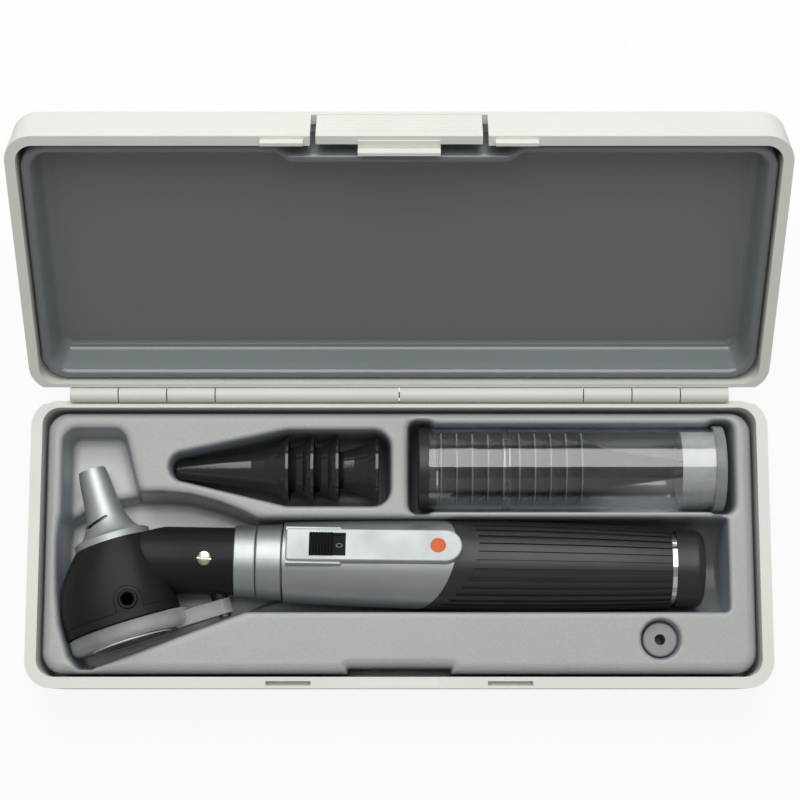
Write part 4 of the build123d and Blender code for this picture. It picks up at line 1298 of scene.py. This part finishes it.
@dataclass
class ClearRings:
    """The tube's joint rings, and painted highlight rings at the specula's rims in it and round
    the window's lens.
    """

    tube_axis: Pair = (20.5, 14.2)
    joint_spans: tuple[Pair, ...] = ((26.6, 27.4), (27.9, 28.7))
    joint_radii: Pair = (10.62, 10.8)
    rim_count: int = 10
    rim_lead: float = 46.9
    rim_pitch: float = 4.03
    rim_width: float = 0.3
    rim_radii: Pair = (9.15, 9.42)
    head_place: Triple = (-74.33, 1.75, 14.7)
    head_turn: float = 17.5
    lens_place: Triple = (-2.25, -26.6, 0.0)
    lens_turn: float = -90.0
    # Where the painted highlight ring round the window's lens lies, and its radii.
    highlight_span: Pair = (-0.05, 0.3)
    highlight_radii: Pair = (10.15, 10.55)

    def build(self) -> None:
        """Makes the rings."""
        tube = Matrix.Translation((0.0, *self.tube_axis))
        part = Part("tube_joint_ring", "specula_tube", Finishes.TUBE, "clear_tube")
        for span in self.joint_spans:
            named = replace(part, name=f"{part.name}_{span[0]:.0f}")
            Ring(named, span, self.joint_radii, tube).build()
        # Painted highlight rings at the specula's rims.
        part = Part("speculum_rim_highlight", "specula_tube", Finishes.RIM, "black_plastic")
        for index in range(self.rim_count):
            start = self.rim_lead - index * self.rim_pitch
            named = replace(part, name=f"{part.name}_{index + 1:02d}")
            Ring(named, (start, start + self.rim_width), self.rim_radii, tube).build()
        window = (
            Matrix.Translation(self.head_place)
            @ Matrix.Rotation(math.radians(self.head_turn), 4, "Z")
            @ Matrix.Translation(self.lens_place)
            @ Matrix.Rotation(math.radians(self.lens_turn), 4, "Z")
        )
        # A painted highlight ring round the window's lens.
        part = Part("window_highlight_ring", "window", Finishes.BEAD, "clear_window")
        Ring(part, self.highlight_span, self.highlight_radii, window).build()


# ---------------- light and camera
@dataclass(frozen=True)
class Softbox:
    """A large soft lamp.

    Args:
        name: The lamp's name.
        place: Where the lamp stands, in metres.
        size: Its width and height in metres.
        power: Its power in watts.
    """

    name: str
    place: Triple
    size: Pair
    power: float

    def build(self, target: Vector) -> None:
        """Hangs the lamp and turns it to a target.

        Args:
            target: The place that it is turned to.
        """
        lamp = bpy.data.lights.new(self.name, "AREA")
        lamp.shape = "RECTANGLE"
        lamp.size, lamp.size_y = self.size
        lamp.energy = self.power
        holder = placed(self.name, lamp)
        holder.location = self.place
        aim = target - Vector(self.place)
        holder.rotation_mode = "QUATERNION"
        holder.rotation_quaternion = aim.to_track_quat("-Z", "Y")


@dataclass
class Studio:
    """Pale floor, soft lamps and the camera."""

    target: Vector = field(default_factory=lambda: Vector((0.0, 0.03, 0.02)))
    lamps: tuple[Softbox, ...] = (
        Softbox("key", (-0.02, 0.43, 0.77), (0.7, 1.0), 7.1),
        Softbox("fill", (0.2, -0.8, 0.7), (1.2, 0.7), 0.5),
    )
    floor_half: float = 3.0
    floor_cells: int = 8
    floor_colour: Colour = Colour(236, 236, 234)
    floor_roughness: float = 0.9
    floor_white: float = 0.9
    world_colour: Triple = (0.98, 0.99, 1.0)
    world_strength: float = 0.26
    camera_place: Triple = (0.00018, -0.05695, 0.5675)
    camera_down: float = 80.18
    camera_clip: Pair = (0.01, 20.0)
    lens: float = 96.33
    sensor: float = 36.0

    def _floor(self) -> None:
        """Makes the pale floor, which is near white to the camera and keeps the shadow."""
        shape = bmesh.new()
        cells = self.floor_cells
        bmesh.ops.create_grid(shape, x_segments=cells, y_segments=cells, size=self.floor_half)
        mesh = bpy.data.meshes.new("floor")
        shape.to_mesh(mesh)
        shape.free()
        shader = Shader(bpy.data.materials.new("floor_paint"))
        inputs = {"Base Color": self.floor_colour.rgba(), "Roughness": self.floor_roughness}
        paint = shader.add("ShaderNodeBsdfPrincipled", inputs=inputs)
        lit = shader.add("ShaderNodeEmission", inputs={"Color": WHITE, "Strength": 1.0})
        seen = shader.add("ShaderNodeLightPath", result="Is Camera Ray") * self.floor_white
        shader.show(shader.add("ShaderNodeMixShader", inputs={0: seen, 1: paint, 2: lit}))
        mesh.materials.append(shader.owner)
        floor = placed("floor", mesh)

    def _world(self) -> None:
        """Fills the room with even light, which is white where the camera sees it."""
        world = bpy.data.worlds.new("studio")
        bpy.context.scene.world = world
        shader = Shader(world, "ShaderNodeOutputWorld")
        inputs = {"Color": (*self.world_colour, 1.0), "Strength": self.world_strength}
        soft = shader.add("ShaderNodeBackground", inputs=inputs)
        lit = shader.add("ShaderNodeBackground", inputs={"Color": WHITE, "Strength": 1.0})
        seen = shader.add("ShaderNodeLightPath", result="Is Camera Ray")
        shader.show(shader.add("ShaderNodeMixShader", inputs={0: seen, 1: soft, 2: lit}))

    def _camera(self) -> None:
        """Sets the camera over the front of the open case."""
        data = bpy.data.cameras.new("camera")
        data.sensor_width = self.sensor
        data.lens = self.lens
        data.clip_start, data.clip_end = self.camera_clip
        camera = placed("camera", data)
        camera.location = self.camera_place
        camera.rotation_euler = (math.radians(90.0 - self.camera_down), 0.0, 0.0)
        bpy.context.scene.camera = camera

    def build(self) -> None:
        """Makes the room."""
        self._floor()
        self._world()
        self._camera()
        for lamp in self.lamps:
            lamp.build(self.target)
        bpy.context.scene.view_settings.view_transform = "Standard"


def corners(box: Iterable[Vector]) -> list[list[float]]:
    """A box's corners as plain lists."""
    return [list(corner) for corner in box]


def main() -> None:
    """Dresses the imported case, adds what it lacks and sets the studio."""
    logging.basicConfig(level=logging.INFO, format="%(message)s")
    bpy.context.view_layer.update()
    DRESSING.build(frame["nodes"])
    for assembly in (Tray(), Liner(), ClipPlate(), NeckScrew(), ClearRings()):
        assembly.build()
    Studio().build()
    bpy.context.view_layer.update()


if __name__ == "__main__":
    main()
